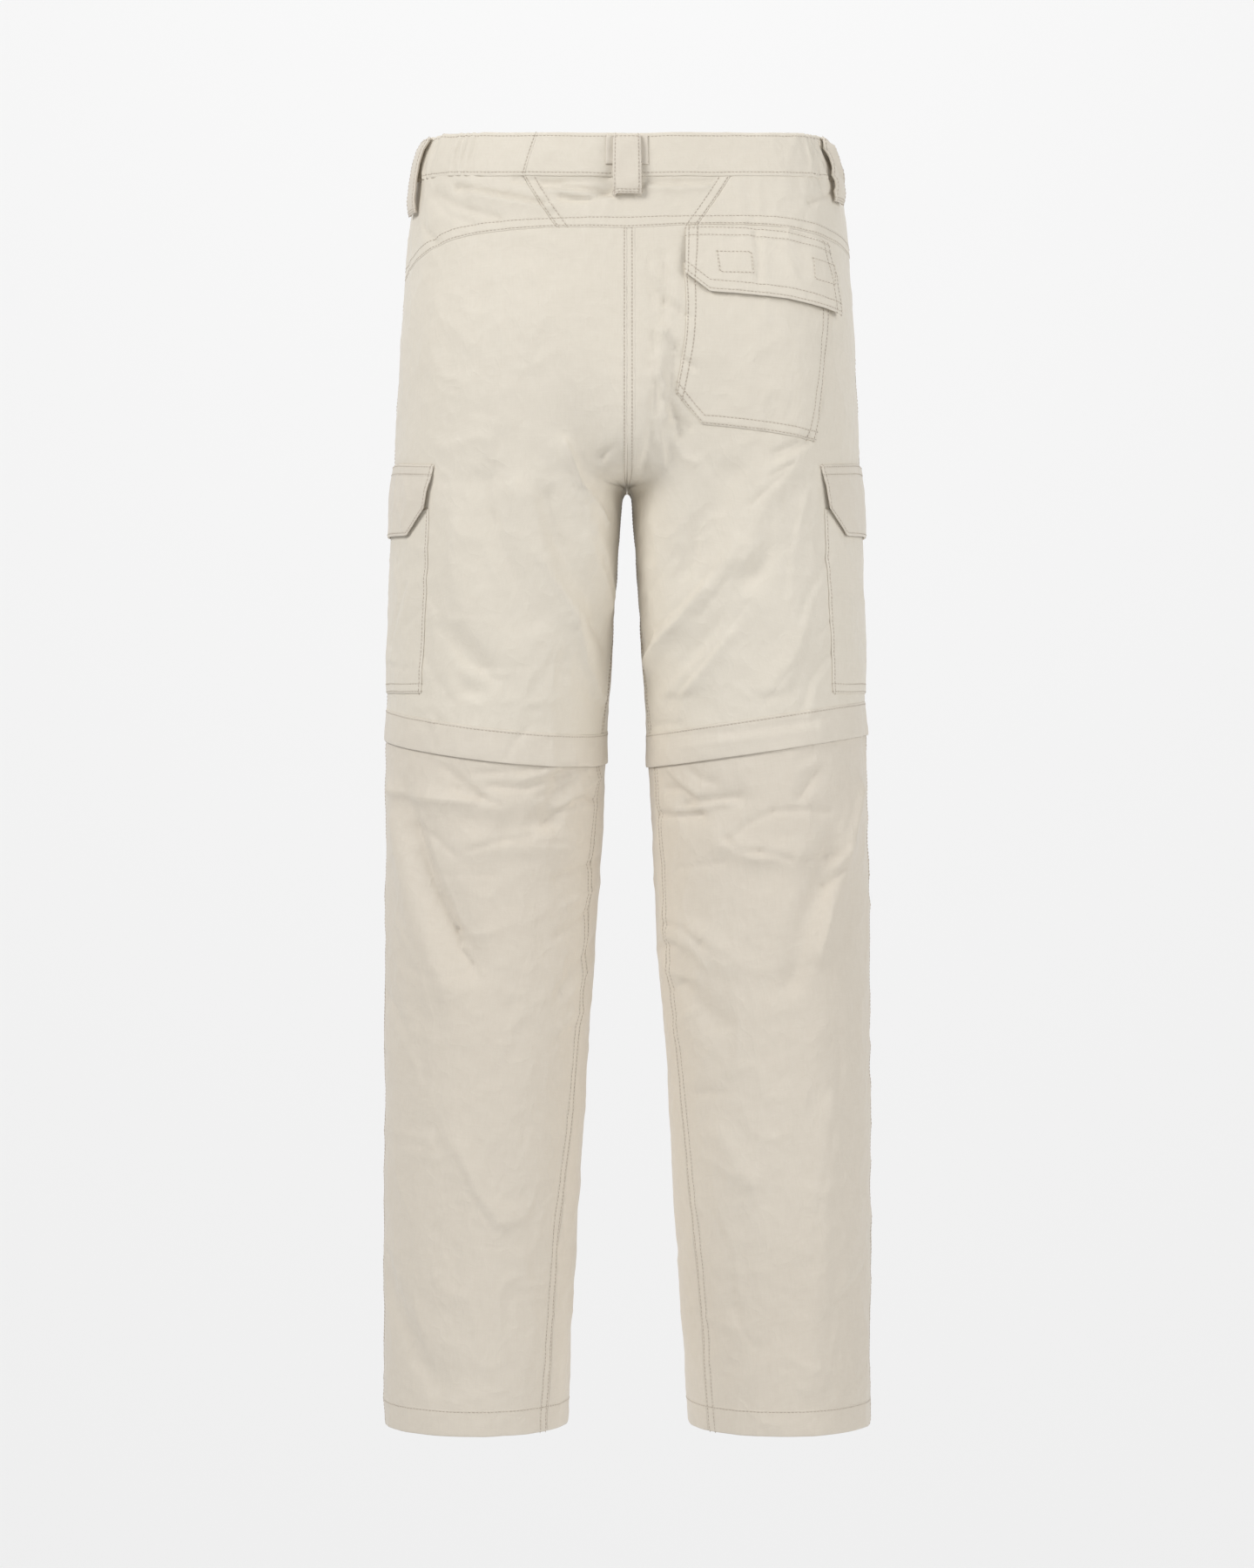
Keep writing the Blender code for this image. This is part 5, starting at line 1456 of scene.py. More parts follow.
@dataclass
class LegPanels:
    """Backs and fronts of the upper legs and of the zip-off lower legs."""

    room: Workroom
    thickness: float = 0.9
    steps: dict[str, float] = field(default_factory=lambda: {"back": 2.35, "front": 4.2})
    zip_reach: float = 12.0
    upper_start: dict[str, float] = field(
        default_factory=lambda: {"back": -60.0, "front": -22.0})
    upper_end: float = -474.0
    ease_top: float = -140.0
    ease_bottom: float = -330.0
    lower_ease: float = -560.0
    half_girth: float = 290.0
    centre_seams: dict[Side, Seam] = field(default_factory=lambda: {
        L: Seam(3.4, (2.1,), 0.1), R: Seam(6.4, (4.1,), 0.1)})
    side_seam: Seam = Seam(8.8, (1.8, 7.6), 0.5)
    inseam: Seam = Seam(9.0, (1.8, 7.8), 0.5)
    fly_seam: Seam = Seam(6.0, (1.8,), 0.3)
    hem_seam: Seam = Seam(21.5, (20.4,), 0.4)
    covered: Seam = Seam(roll=0.5)

    def heights(self, levels: Points, top: Points, bottom: Points, ease_top: float,
                ease_bottom: float) -> Points:
        """Heights of the rows, easing from the top edge to level rows to the bottom.

        Args:
            levels: Heights of the level rows.
            top: Heights of the top edge, by column.
            bottom: Heights of the bottom edge, by column.
            ease_top: Height below which the rows are level.
            ease_bottom: Height above which they are.

        Returns:
            A height for each row and column.
        """
        levels = levels[:, None]
        upper = np.clip((levels - ease_top) / (levels[0] - ease_top), 0.0, 1.0)
        lower = np.clip((ease_bottom - levels) / (ease_bottom - levels[-1]), 0.0, 1.0)
        return levels + (top - levels[0]) * upper + (bottom - levels[-1]) * lower

    def columns(self, face: str) -> Points:
        """Turns of a panel's columns."""
        start = 0.0 if face == "back" else 0.5
        return start + 0.5 * spread(self.half_girth, self.steps[face])

    def upper(self, side: Side, face: str) -> None:
        """One back or front of an upper leg, down to the knee zip."""
        form = self.room.form
        turns = self.columns(face)
        start = self.upper_start[face]
        drop = start - self.upper_end
        levels = start - drop * spread(drop, self.steps[face])
        if face == "back":
            top = curve(YOKE_SEAM, side.word, turns)
            seams = {Edge.TOP: Seam(roll=0.3), Edge.START: self.centre_seams[side],
                     Edge.END: self.side_seam}
        else:
            top = form.waist_rise(turns) - form.band_half
            seams = {Edge.TOP: Seam(roll=0.6), Edge.START: self.covered,
                     Edge.END: self.fly_seam}
        bottom = form.zip_height(side, turns) - self.zip_reach
        heights = self.heights(levels, top, bottom, self.ease_top, self.ease_bottom)
        grid = form.cloth(side.value, turns[None, :], heights)
        sheet = ClothSheet(f"upper_{face}_{side.word}_cloth", grid, self.thickness,
                           side is R, seams=seams)
        rests = [f"yoke_{side.word}"] if face == "back" else [f"waistband_{side.word}"]
        self.room.finish(sheet, BEIGE, f"upper_{face}_{side.word}", Held.HUNG, rests)

    def lower(self, side: Side, face: str) -> None:
        """One back or front of a lower leg, with its turned hem."""
        form = self.room.form
        turns = self.columns(face)
        span = self.upper_end - form.hem
        levels = self.upper_end - span * spread(span, self.steps[face])
        top = form.zip_height(side, turns) - self.zip_reach
        bottom = np.full_like(turns, form.hem)
        heights = self.heights(levels, top, bottom, self.lower_ease, form.hem + 1.0)
        grid = form.cloth(side.value, turns[None, :], heights)
        back = face == "back"
        seams = {Edge.BOTTOM: self.hem_seam,
                 Edge.START: self.inseam if back else self.covered,
                 Edge.END: self.side_seam if back else self.covered}
        sheet = ClothSheet(f"lower_{face}_{side.word}_cloth", grid, self.thickness,
                           side is R, seams=seams)
        self.room.finish(sheet, BEIGE_LEG, f"lower_{face}_{side.word}", Held.HUNG,
                         [f"upper_{face}_{side.word}"])

    def build(self) -> None:
        """Builds all eight panels."""
        for side in Side:
            for face in ("back", "front"):
                self.upper(side, face)
                self.lower(side, face)


@dataclass
class KneeStrips:
    """The strips that cover the knee zips: closed rings, sewn at the top edge."""

    room: Workroom
    thickness: float = 0.5
    columns: int = 224
    step: float = 2.2
    top_lift: float = 0.5
    flare: float = 1.4
    flare_end: float = 0.8
    sewn_top: Seam = Seam(0.0, (1.9,), 0.15)
    free_bottom: Seam = Seam(0.0, (), 0.3)

    def build(self) -> None:
        """Builds both strips."""
        form = self.room.form
        for side in Side:
            turns = np.linspace(0.0, 1.0, self.columns, endpoint=False)[None, :]
            shares = spread(ZIPS[side].strip, self.step)[:, None]
            heights = form.zip_height(side, turns) - shares * ZIPS[side].strip
            lift = self.top_lift + self.flare * ease(shares / self.flare_end)
            grid = form.cloth(side.value, turns, heights, lift)
            seams = {Edge.TOP: self.sewn_top, Edge.BOTTOM: self.free_bottom}
            name = f"zip_cover_{side.word}"
            sheet = ClothSheet(name + "_cloth", grid, self.thickness, side is R, True, seams)
            self.room.finish(sheet, BEIGE_TRIM, name, Held.HUNG,
                             [f"upper_back_{side.word}", f"upper_front_{side.word}"])


@dataclass
class Yoke:
    """The back yoke: a centre piece between two slanted seams, and two side pieces."""

    room: Workroom
    thickness: float = 0.9
    split_top: float = 0.128
    split_bottom: float = 0.081
    step: float = 1.9
    depth: float = 42.0
    tucked_in: float = 1.2
    centre_width: float = 150.0
    side_width: float = 190.0
    top_seam: Seam = Seam(roll=0.3)
    felled: Seam = Seam(10.0, (1.7, 8.8), 0.3)
    joined: Seam = Seam(roll=0.5)

    def grid(self, turns: Points, shares: Points) -> Points:
        """Points between the waistband's seam and the seam under the yoke."""
        form = self.room.form
        top = form.waist_rise(turns) - form.band_half + self.tucked_in
        plain = np.abs(turns)
        bottom = np.where(turns < 0.0, curve(YOKE_SEAM, "right", plain),
                          curve(YOKE_SEAM, "left", plain))
        return form.waist_cloth(turns, top + (bottom - top) * shares)

    def build(self) -> None:
        """Builds the three pieces."""
        shares = spread(self.depth, self.step)[:, None]
        split = self.split_top + (self.split_bottom - self.split_top) * shares
        across = 2.0 * spread(self.centre_width, self.step)[None, :] - 1.0
        seams = {Edge.TOP: self.top_seam, Edge.BOTTOM: self.felled,
                 Edge.START: self.felled, Edge.END: self.felled}
        sheet = ClothSheet("yoke_centre_cloth", self.grid(split * across, shares),
                           self.thickness, seams=seams)
        self.room.finish(sheet, BEIGE, "yoke_centre", Held.HUNG, ["waistband_left"])
        across = spread(self.side_width, self.step)[None, :]
        turns = split + (0.5 - split) * across
        for side in Side:
            path = turns if side is L else -turns[:, ::-1]
            seams = {Edge.TOP: self.top_seam, Edge.BOTTOM: self.felled,
                     Edge.START: self.joined, Edge.END: self.joined}
            sheet = ClothSheet(f"yoke_{side.word}_cloth", self.grid(path, shares),
                               self.thickness, seams=seams)
            self.room.finish(sheet, BEIGE, f"yoke_{side.word}", Held.HUNG,
                             [f"waistband_{side.word}"])


@dataclass(frozen=True)
class Gather:
    """A gathered stretch of the waistband and its number of waves."""

    side: Side
    start: float
    end: float
    waves: int


@dataclass
class Waistband:
    """Two lengths of waistband with elastic at both sides and a lap at the front."""

    room: Workroom
    thickness: float = 2.0
    lift: float = 0.4
    seam_top: float = 0.113
    seam_bottom: float = 0.125
    lap: float = 36.0
    lap_ramp: float = 40.0
    girth: float = 990.0
    layer_gap: float = 0.7
    step: float = 2.4
    step_down: float = 2.2
    slant_reach: float = 0.1
    long_rows: Seam = Seam(0.0, (3.2,), 0.25)
    slanted_seam: Seam = Seam(0.0, (1.8,), 0.1)
    end_seam: Seam = Seam(0.0, (2.4,), 0.5)
    gathers: tuple[Gather, ...] = (Gather(L, 0.16, 0.60, 17), Gather(R, 0.24, 0.60, 14))
    gather_height: float = 1.35
    gather_ends: float = 8.0
    gather_sizes: tuple[float, float] = (9.0, 1.6)
    gather_seeds: tuple[int, int] = (61, 71)
    gather_wander: float = 0.9
    bulge: float = 0.8

    def gather_lift(self, turns: Points, shares: Points) -> Points:
        """The small upright waves of the elastic, uneven in place and height."""
        lift = np.zeros(np.broadcast(turns, shares).shape)
        for row in self.gathers:
            along = (turns * row.side.value - row.start) / (row.end - row.start)
            inside = ease(along * self.gather_ends) * ease((1.0 - along) * self.gather_ends)
            size, low = self.gather_sizes
            place = np.stack(np.broadcast_arrays(along * size, shares * low, 4.0), axis=-1)
            wander = lattice_noise(place, self.gather_seeds[0]) * self.gather_wander
            waves = np.cos(2.0 * math.pi * (row.waves * along + wander))
            high = 0.65 + 0.5 * lattice_noise(place * 1.7 + 3.0, self.gather_seeds[1])
            crisp = np.where(waves > 0.0, waves, -np.abs(waves) ** 0.6)
            lift = lift + self.gather_height * inside * high * crisp
        return lift

    def length(self, start: float, end: float) -> Points:
        """Turns of the columns between two turns."""
        return start + (end - start) * spread((end - start) * self.girth / 2.0, self.step)

    def piece(self, word: str, turns: Points, shares: Points, over: Points,
              seams: dict[Edge, Seam]) -> None:
        """One length of waistband along its turns."""
        form = self.room.form
        soft = self.bulge * np.sin(math.pi * shares) ** 0.6
        lift = self.lift + over + soft + self.gather_lift(turns, shares)
        heights = form.waist_rise(turns) + form.band_half * (1.0 - 2.0 * shares)
        sheet = ClothSheet(f"waistband_{word}_cloth", form.waist_cloth(turns, heights, lift),
                           self.thickness, seams=seams)
        self.room.finish(sheet, BEIGE, f"waistband_{word}", Held.GATHERED)

    def build(self) -> None:
        """Builds both lengths; they meet at the slanted seam on the wearer's left."""
        form = self.room.form
        shares = spread(2.0 * form.band_half, self.step_down)[:, None]
        lap = 2.0 * self.lap / self.girth
        ramp = 2.0 * self.lap_ramp / self.girth
        slant = (self.seam_bottom - self.seam_top) * (shares - 0.5)
        seam = (self.seam_bottom + self.seam_top) / 2.0
        rows = self.long_rows
        turns = self.length(seam, 1.0 + lap)[None, :]
        turns = turns + slant * np.clip(1.0 - (turns - seam) / self.slant_reach, 0.0, 1.0)
        start = 1.0 - lap - ramp
        over = (self.thickness + self.layer_gap) * ease((turns - start) / ramp)
        self.piece("left", turns, shares, over,
                   {Edge.TOP: rows, Edge.BOTTOM: rows, Edge.START: self.slanted_seam,
                    Edge.END: self.end_seam})
        turns = self.length(-1.0 - lap, seam)[None, :]
        turns = turns + slant * np.clip(1.0 + (turns - seam) / self.slant_reach, 0.0, 1.0)
        self.piece("right", turns, shares, np.zeros_like(turns),
                   {Edge.TOP: rows, Edge.BOTTOM: rows, Edge.START: self.end_seam,
                    Edge.END: Seam(roll=0.1)})


@dataclass(frozen=True)
class Loop:
    """A belt loop: place round the waist, width, ends, and what lies under it."""

    name: str
    turn: float
    width: float
    top: float
    bottom: float
    under: float


@dataclass
class BeltLoops:
    """Five straps that stand off the waistband, and the tab behind the centre one."""

    room: Workroom
    thickness: float = 2.0
    stand: float = 2.3
    base: float = 3.5
    tab_width: float = 34.0
    tab_top: float = 16.0
    tab_bottom: float = -8.0
    tab_thickness: float = 1.0
    tab_lift: float = 2.6
    rise_share: float = 0.2
    crown: float = 0.5
    step_down: float = 2.0
    step_across: float = 1.6
    top_tack: Seam = Seam(0.0, (2.4,), 0.8)
    bottom_tack: Seam = Seam(0.0, (1.4, 3.4), 0.8)
    side_row: Seam = Seam(0.0, (2.2,), 0.8)
    loops: tuple[Loop, ...] = (
        Loop("loop_back_centre", 0.0, 23.0, 16.0, -33.0, 1.7),
        Loop("loop_side_left", 0.375, 20.0, 16.0, -46.0, 0.8),
        Loop("loop_side_right", -0.365, 20.0, 16.0, -37.0, 0.8),
        Loop("loop_front_left", 0.80, 14.0, 16.0, -33.0, 0.0),
        Loop("loop_front_right", -0.80, 14.0, 16.0, -33.0, 0.0),
    )

    def strap(self, loop: Loop) -> None:
        """One loop, with stitching along both sides and a bar tack at each end."""
        form = self.room.form
        shares = spread(loop.top - loop.bottom, self.step_down)[:, None]
        rise = self.rise_share
        stand = self.stand * ease(shares / rise) * ease((1.0 - shares) / rise)
        half = form.half_turns(loop.width, loop.turn)
        across = 2.0 * spread(loop.width, self.step_across)[None, :] - 1.0
        turns = loop.turn + half * across
        heights = form.waist_rise(loop.turn) + loop.top + (loop.bottom - loop.top) * shares
        crown = self.crown * (1.0 - across**4)
        lift = self.base + loop.under + stand + crown
        seams = {Edge.TOP: self.top_tack, Edge.BOTTOM: self.bottom_tack,
                 Edge.START: self.side_row, Edge.END: self.side_row}
        grid = form.waist_cloth(turns, heights, lift)
        sheet = ClothSheet(loop.name + "_cloth", grid, self.thickness, seams=seams)
        self.room.finish(sheet, BEIGE_TRIM, loop.name, Held.STRETCHED,
                         ["waistband_left", "waistband_right"])

    def tab(self) -> None:
        """The small tab behind the centre back loop."""
        form = self.room.form
        half = form.half_turns(self.tab_width, 0.0)
        across = 2.0 * spread(self.tab_width, self.step_down)[None, :] - 1.0
        shares = spread(self.tab_top - self.tab_bottom, self.step_down)[:, None]
        heights = self.tab_top + (self.tab_bottom - self.tab_top) * shares
        grid = form.waist_cloth(half * across, heights, self.tab_lift)
        seams = {edge: Seam(0.0, (), 0.4) for edge in Edge}
        sheet = ClothSheet("loop_back_tab_cloth", grid, self.tab_thickness, seams=seams)
        self.room.finish(sheet, BEIGE_TRIM, "loop_back_tab", Held.HUNG,
                         ["waistband_left", "waistband_right"])

    def build(self) -> None:
        """Builds the loops and the tab."""
        for loop in self.loops:
            self.strap(loop)
        self.tab()


@dataclass
class Pockets:
    """The back pocket on the wearer's right and a cargo pocket on each thigh."""

    room: Workroom
    thickness: float = 0.7
    edge_lift: float = 0.9
    flap_thickness: float = 1.4
    flap_base: float = 1.7
    over_pocket: float = 1.8
    cargo_belly: float = 2.4
    back_belly: float = 0.8
    flap_stand: float = 1.6
    corner_stand: float = 1.8
    step: float = 2.3
    sewn: Seam = Seam(0.0, (1.7, 8.0), 0.4)
    edge: Seam = Seam(0.0, (2.4,), 0.4)
    flap_top: Seam = Seam(9.0, (1.7, 8.0), 0.9)
    flap_edge: Seam = Seam(0.0, (2.5, 9.5), 0.7)

    def patch(self, node: str, table: Sequence[Column], side: Side, thickness: float,
              lift: Lift, finish: ClothFinish, seams: dict[Edge, Seam],
              rests_on: Sequence[str]) -> None:
        """A piece sewn on a panel.

        Args:
            node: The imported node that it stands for.
            table: Its columns.
            side: The leg that it is sewn on.
            thickness: Thickness of its cloth.
            lift: Gives the outer face's height over the panel by shares down and across.
            finish: Its cloth.
            seams: Its sewn edges.
            rests_on: The nodes that it is sewn on.
        """
        form = self.room.form
        width = abs(table[-1].top_place - table[0].top_place)
        length = max(row.top - row.bottom for row in table)
        across = spread(width, self.step)[None, :]
        down = spread(length, self.step)[:, None]
        at = across * (len(table) - 1)
        names = ("top_place", "top", "bottom_place", "bottom")
        ends = [np.interp(at, range(len(table)), [getattr(row, n) for row in table])
                for n in names]
        heights = ends[1] + (ends[3] - ends[1]) * down
        places = ends[0] + (ends[2] - ends[0]) * down
        turns = form.turn_at(places, heights)
        grid = form.cloth(side.value, turns, heights, lift(down, across))
        sheet = ClothSheet(node + "_cloth", grid, thickness, side is R, seams=seams)
        self.room.finish(sheet, finish, node, Held.HUNG, rests_on)

    def pocket_lift(self, belly: float) -> Lift:
        """Height of a pocket's face: sewn down at its edges, its middle stands off."""

        def lift(down: Points, across: Points) -> Points:
            """Height by shares down and across."""
            full = np.sin(math.pi * down) * np.sin(math.pi * across)
            return self.edge_lift + belly * np.clip(full, 0.0, 1.0) ** 0.7

        return lift

    def flap_lift(self, down: Points, across: Points) -> Points:
        """Height of a flap's face: sewn at its top, it passes over its pocket."""
        over = self.over_pocket * ease(down / 0.5)
        corner = self.corner_stand * ease((across - 0.5) / 0.5)
        return self.flap_base + over + (self.flap_stand + corner) * down

    def build(self) -> None:
        """Builds the three pockets and their flaps."""
        free = (Edge.START, Edge.END, Edge.BOTTOM)
        pocket = dict.fromkeys(free, self.sewn)
        flap = {Edge.TOP: self.flap_top, **dict.fromkeys(free, self.flap_edge)}
        self.patch("back_pocket", BACK_POCKET, R, self.thickness,
                   self.pocket_lift(self.back_belly), BEIGE, pocket, ["upper_back_right"])
        self.patch("back_pocket_flap", BACK_POCKET_FLAP, R, self.flap_thickness,
                   self.flap_lift, BEIGE, flap, ["upper_back_right", "back_pocket"])
        cargo = {Edge.START: self.edge, Edge.END: self.edge, Edge.BOTTOM: self.sewn}
        cargo_flap = {Edge.TOP: self.flap_top, **dict.fromkeys(free, self.edge)}
        for side in Side:
            on = [f"upper_back_{side.word}", f"upper_front_{side.word}"]
            self.patch(f"cargo_pocket_{side.word}", CARGO_POCKET, side, self.thickness,
                       self.pocket_lift(self.cargo_belly), BEIGE, cargo, on)
            self.patch(f"cargo_flap_{side.word}", CARGO_FLAP, side, self.flap_thickness,
                       self.flap_lift, BEIGE_TRIM, cargo_flap,
                       on + [f"cargo_pocket_{side.word}"])


@dataclass
class Fly:
    """The flap over the front closure, with its curved row of stitches."""

    room: Workroom
    thickness: float = 0.9
    left: float = 38.0
    right: float = 7.0
    bottom: float = -178.0
    round_off: float = 34.0
    girth: float = 1060.0
    lift: float = 2.2
    step_across: float = 2.4
    step_down: float = 3.0
    length: float = 150.0
    bend_rate: float = 1.35
    tucked_in: float = 0.2

    def build(self) -> None:
        """Builds the flap."""
        form = self.room.form
        right = 1.0 + 2.0 * self.right / self.girth
        left = 1.0 - 2.0 * self.left / self.girth
        across = spread(self.left + self.right, self.step_across)[None, :]
        turns = left + (right - left) * across
        top = form.waist_rise(turns) - form.band_half - self.tucked_in
        bend = np.sqrt(1.0 - (1.0 - np.clip(across * self.bend_rate, 0.0, 1.0)) ** 2)
        bottom = self.bottom + self.round_off * (1.0 - bend)
        shares = spread(self.length, self.step_down)[:, None]
        grid = form.waist_cloth(turns, top + (bottom - top) * shares, self.lift)
        seams = {Edge.TOP: Seam(roll=0.6), Edge.END: Seam(0.0, (2.0,), 0.7),
                 Edge.START: Seam(0.0, (1.8, 7.6), 0.7), Edge.BOTTOM: Seam(0.0, (1.8,), 0.7)}
        sheet = ClothSheet("fly_flap_cloth", grid, self.thickness, seams=seams)
        self.room.finish(sheet, BEIGE, "fly_flap", Held.HUNG,
                         ["upper_front_left", "upper_front_right"])


@dataclass
class WaistButton:
    """The button on the waistband's lapped end: a turned disc with crossed thread."""

    room: Workroom
    radius: float = 8.5
    thickness: float = 3.0
    lift: float = 5.7
    girth: float = 990.0
    lap: float = 36.0
    thread_reach: float = 1.7
    thread_end: float = 0.55
    thread_middle: float = 0.85
    segments: int = 48
    dark: tuple[float, float, float] = (0.10, 0.07, 0.045)
    light: tuple[float, float, float] = (0.20, 0.15, 0.10)

    def profile(self) -> list[tuple[float, float]]:
        """Radius and height of the disc's turned outline, from its front to its back."""
        rim, deep = self.radius, self.thickness / 2.0
        return [(0.0, 0.35), (3.8, 0.35), (4.9, 0.8), (5.6, deep - 0.1), (6.6, deep),
                (7.6, deep - 0.2), (8.2, deep - 0.7), (rim, 0.2), (8.3, -0.7),
                (7.2, -deep + 0.1), (0.0, -deep)]

    def build(self) -> None:
        """Builds the button with its crossed thread."""
        form = self.room.form
        turn = np.array(1.0 + self.lap / 2.0 / self.girth)
        place = form.waist_cloth(turn, form.waist_rise(turn), self.lift)
        points, faces = [], []
        profile = self.profile()
        count = self.segments
        for reach, high in profile[1:-1]:
            for step in range(count):
                angle = 2.0 * math.pi * step / count
                points.append((reach * math.cos(angle), -high, reach * math.sin(angle)))
        for ring in range(len(profile) - 3):
            for step in range(count):
                after = (step + 1) % count
                faces.append((ring * count + step, ring * count + after,
                              (ring + 1) * count + after, (ring + 1) * count + step))
        for (_, high), ring in ((profile[0], 0), (profile[-1], len(profile) - 3)):
            pole = len(points)
            points.append((0.0, -high, 0.0))
            for step in range(count):
                after = (step + 1) % count
                near, far = ring * count + step, ring * count + after
                faces.append((pole, far, near) if ring == 0 else (pole, near, far))
        moved = (np.array(points) + place) * MM
        mesh = bpy.data.meshes.new("waist_button_disc")
        mesh.from_pydata(moved.tolist(), [], faces)
        mesh.materials.append(self.material())
        mesh.shade_smooth()
        piece = show("waist_button_disc", mesh)
        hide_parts("waist_button")
        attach(piece, BODY)
        reach, end = self.thread_reach, self.thread_end
        for slope in (-1.0, 1.0):
            ends = np.array([(-reach, -end, -slope * reach), (0.0, -self.thread_middle, 0.0),
                             (reach, -end, slope * reach)])
            self.room.stitching.add(ends + place)
        log.info("waist button: %d faces", len(faces))

    def material(self) -> bpy.types.Material:
        """Horn-brown resin with a soft cloudy grain."""
        material, w, shader, place = new_material("button_resin")
        grain = w.noise(w.stretched(place, (420.0, 420.0, 120.0)), 1.0, 4.0, 0.6)
        bump = w.add("ShaderNodeBump", {"Height": grain, "Distance": 0.0001})
        w.feed(shader, {"Base Color": w.mix(grain, self.dark, self.light),
                        "Roughness": w.math("MULTIPLY_ADD", grain, 0.2, 0.3),
                        "Normal": bump.outputs["Normal"]})
        return material


@dataclass
class PocketTacks:
    """Stitched boxes over the hook-and-loop patches inside the back pocket's flap."""

    room: Workroom
    above: float = 0.6
    side_points: int = 8
    flap_top: float = -60.0
    flap_length: float = 54.0
    flap_start: float = -217.0
    flap_width: float = 129.0
    boxes: tuple[tuple[tuple[int, int], ...], ...] = (
        ((-196, -79), (-169, -79), (-170, -96), (-197, -96)),
        ((-116, -81), (-93, -84), (-97, -101), (-118, -98)),
    )

    def build(self) -> None:
        """Adds both boxes to the stitching."""
        form = self.room.form
        pockets = Pockets(self.room)
        steps = np.linspace(0.0, 1.0, self.side_points, endpoint=False)[:, None]
        for box in self.boxes:
            corners = np.array(box + box[:1], float)
            line = []
            for start, end in zip(corners[:-1], corners[1:]):
                line.extend(start + (end - start) * steps)
            line = np.array(line + [corners[-1]])
            turns = form.turn_at(line[:, 0], line[:, 1])
            share = (self.flap_top - line[:, 1]) / self.flap_length
            across = (line[:, 0] - self.flap_start) / self.flap_width
            lift = pockets.flap_lift(share, across) + self.above
            self.room.stitching.add(form.cloth(-1, turns, line[:, 1], lift))


TARGET = (0.0, 0.0, -0.504)


@dataclass(frozen=True)
class Lamp:
    """A square soft light: place and aim in metres, side in metres, power in watts."""

    name: str
    place: tuple[float, float, float]
    aim: tuple[float, float, float]
    size: float
    power: float


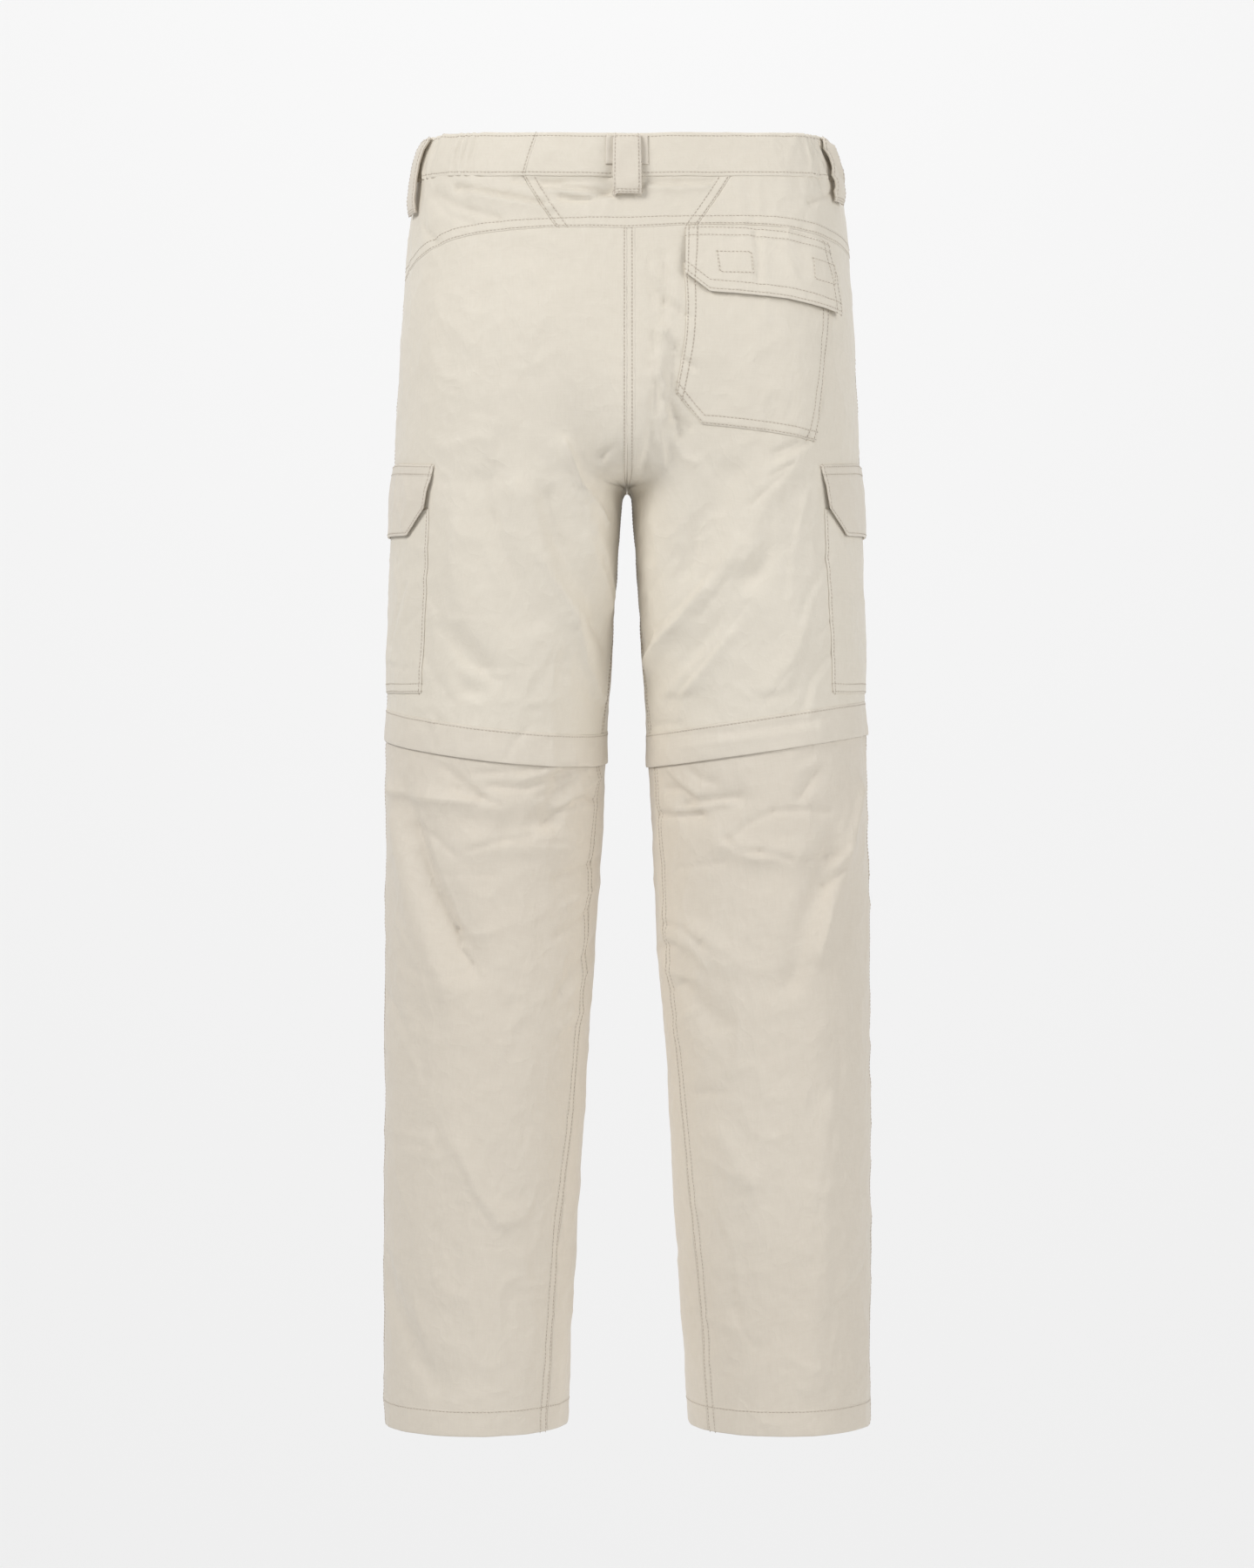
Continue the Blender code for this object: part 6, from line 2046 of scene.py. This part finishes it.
@dataclass
class Studio:
    """Plain pale backdrop and floor, soft frontal light, and the photograph's camera."""

    distance: float = 2.8
    frame_height: float = 1.314
    sensor: float = 36.0
    pale: tuple[float, float, float] = (0.22, 0.22, 0.22)
    glow: float = 0.685
    surroundings: float = 0.3
    wall: float = -3.6
    wall_top: float = 3.0
    bend_top: float = -2.2
    bend: float = 0.6
    reach: float = 4.5
    lamps: tuple[Lamp, ...] = (
        Lamp("key_light", (2.5, 2.4, 1.7), TARGET, 1.6, 100.0),
        Lamp("fill_light", (-2.9, 2.0, 0.3), TARGET, 2.4, 62.0),
        Lamp("sweep_light", (0.0, -1.2, 2.6), (0.0, -3.6, -0.6), 3.0, 60.0),
    )

    def backdrop(self) -> None:
        """A sweep behind the trousers that turns into the floor far below them."""
        profile = [(self.wall, self.wall_top), (self.wall, self.bend_top)]
        profile += [(self.wall + self.bend * (1.0 - math.cos(a)),
                     self.bend_top - self.bend * math.sin(a))
                    for a in np.linspace(0.0, math.pi / 2.0, 12)]
        profile += [(self.reach, self.bend_top - self.bend)]
        points = [(x, y, z) for y, z in profile for x in (-self.reach, self.reach)]
        faces = [(2 * i, 2 * i + 1, 2 * i + 3, 2 * i + 2) for i in range(len(profile) - 1)]
        mesh = bpy.data.meshes.new("studio_sweep")
        mesh.from_pydata(points, [], faces)
        mesh.shade_smooth()
        material, w, shader, place = new_material("pale_sweep")
        dim = tuple(part * 0.985 for part in self.pale)
        colour = w.mix(w.noise(place, 0.6, 1.0), dim, self.pale)
        w.feed(shader, {"Base Color": colour, "Roughness": 0.9,
                        "Emission Color": (1.0, 1.0, 1.0, 1.0),
                        "Emission Strength": self.glow})
        mesh.materials.append(material)
        sweep = show("studio_sweep", mesh)

    def light(self, lamp: Lamp) -> None:
        """Hangs one light."""
        data = bpy.data.lights.new(lamp.name, "AREA")
        data.shape = "SQUARE"
        data.size = lamp.size
        data.energy = lamp.power
        hung = show(lamp.name, data)
        hung.location = lamp.place
        hung.rotation_euler = facing(lamp.place, lamp.aim)

    def build(self) -> None:
        """Sets the backdrop, the lights, the surroundings and the camera."""
        self.backdrop()
        for lamp in self.lamps:
            self.light(lamp)
        world = bpy.data.worlds.new("soft_room")
        world.use_nodes = True
        background = world.node_tree.nodes["Background"].inputs
        background["Color"].default_value = (1.0, 1.0, 1.0, 1.0)
        background["Strength"].default_value = self.surroundings
        bpy.context.scene.world = world
        camera = bpy.data.cameras.new("camera")
        camera.sensor_fit = "VERTICAL"
        camera.sensor_height = self.sensor
        camera.lens = self.sensor * self.distance / self.frame_height
        camera.clip_end = 30.0
        eye = show("camera", camera)
        eye.location = (0.0, self.distance, TARGET[2])
        eye.rotation_euler = facing(eye.location, TARGET)
        bpy.context.scene.camera = eye
        bpy.context.scene.view_settings.view_transform = "Standard"
        log.info("studio: camera at %.2f m", self.distance)


def facing(place: Sequence[float], aim: Sequence[float]) -> tuple[float, float, float]:
    """Turn of a lamp or camera that looks from its place at a point."""
    away = np.array(aim, float) - np.array(place, float)
    level = math.hypot(away[0], away[1])
    return (math.atan2(level, -away[2]), 0.0, math.atan2(-away[0], away[1]))


def main() -> None:
    """Builds the trousers and the studio, in order."""
    logging.basicConfig(level=logging.INFO, format="%(message)s")
    room = Workroom(TrouserForm(), ClothEffects(), Stitching())
    Studio().build()
    Waistband(room).build()
    BeltLoops(room).build()
    Yoke(room).build()
    LegPanels(room).build()
    Fly(room).build()
    WaistButton(room).build()
    Pockets(room).build()
    PocketTacks(room).build()
    KneeStrips(room).build()
    room.stitching.build("stitching", ThreadFinish().material())


if __name__ == "__main__":
    main()
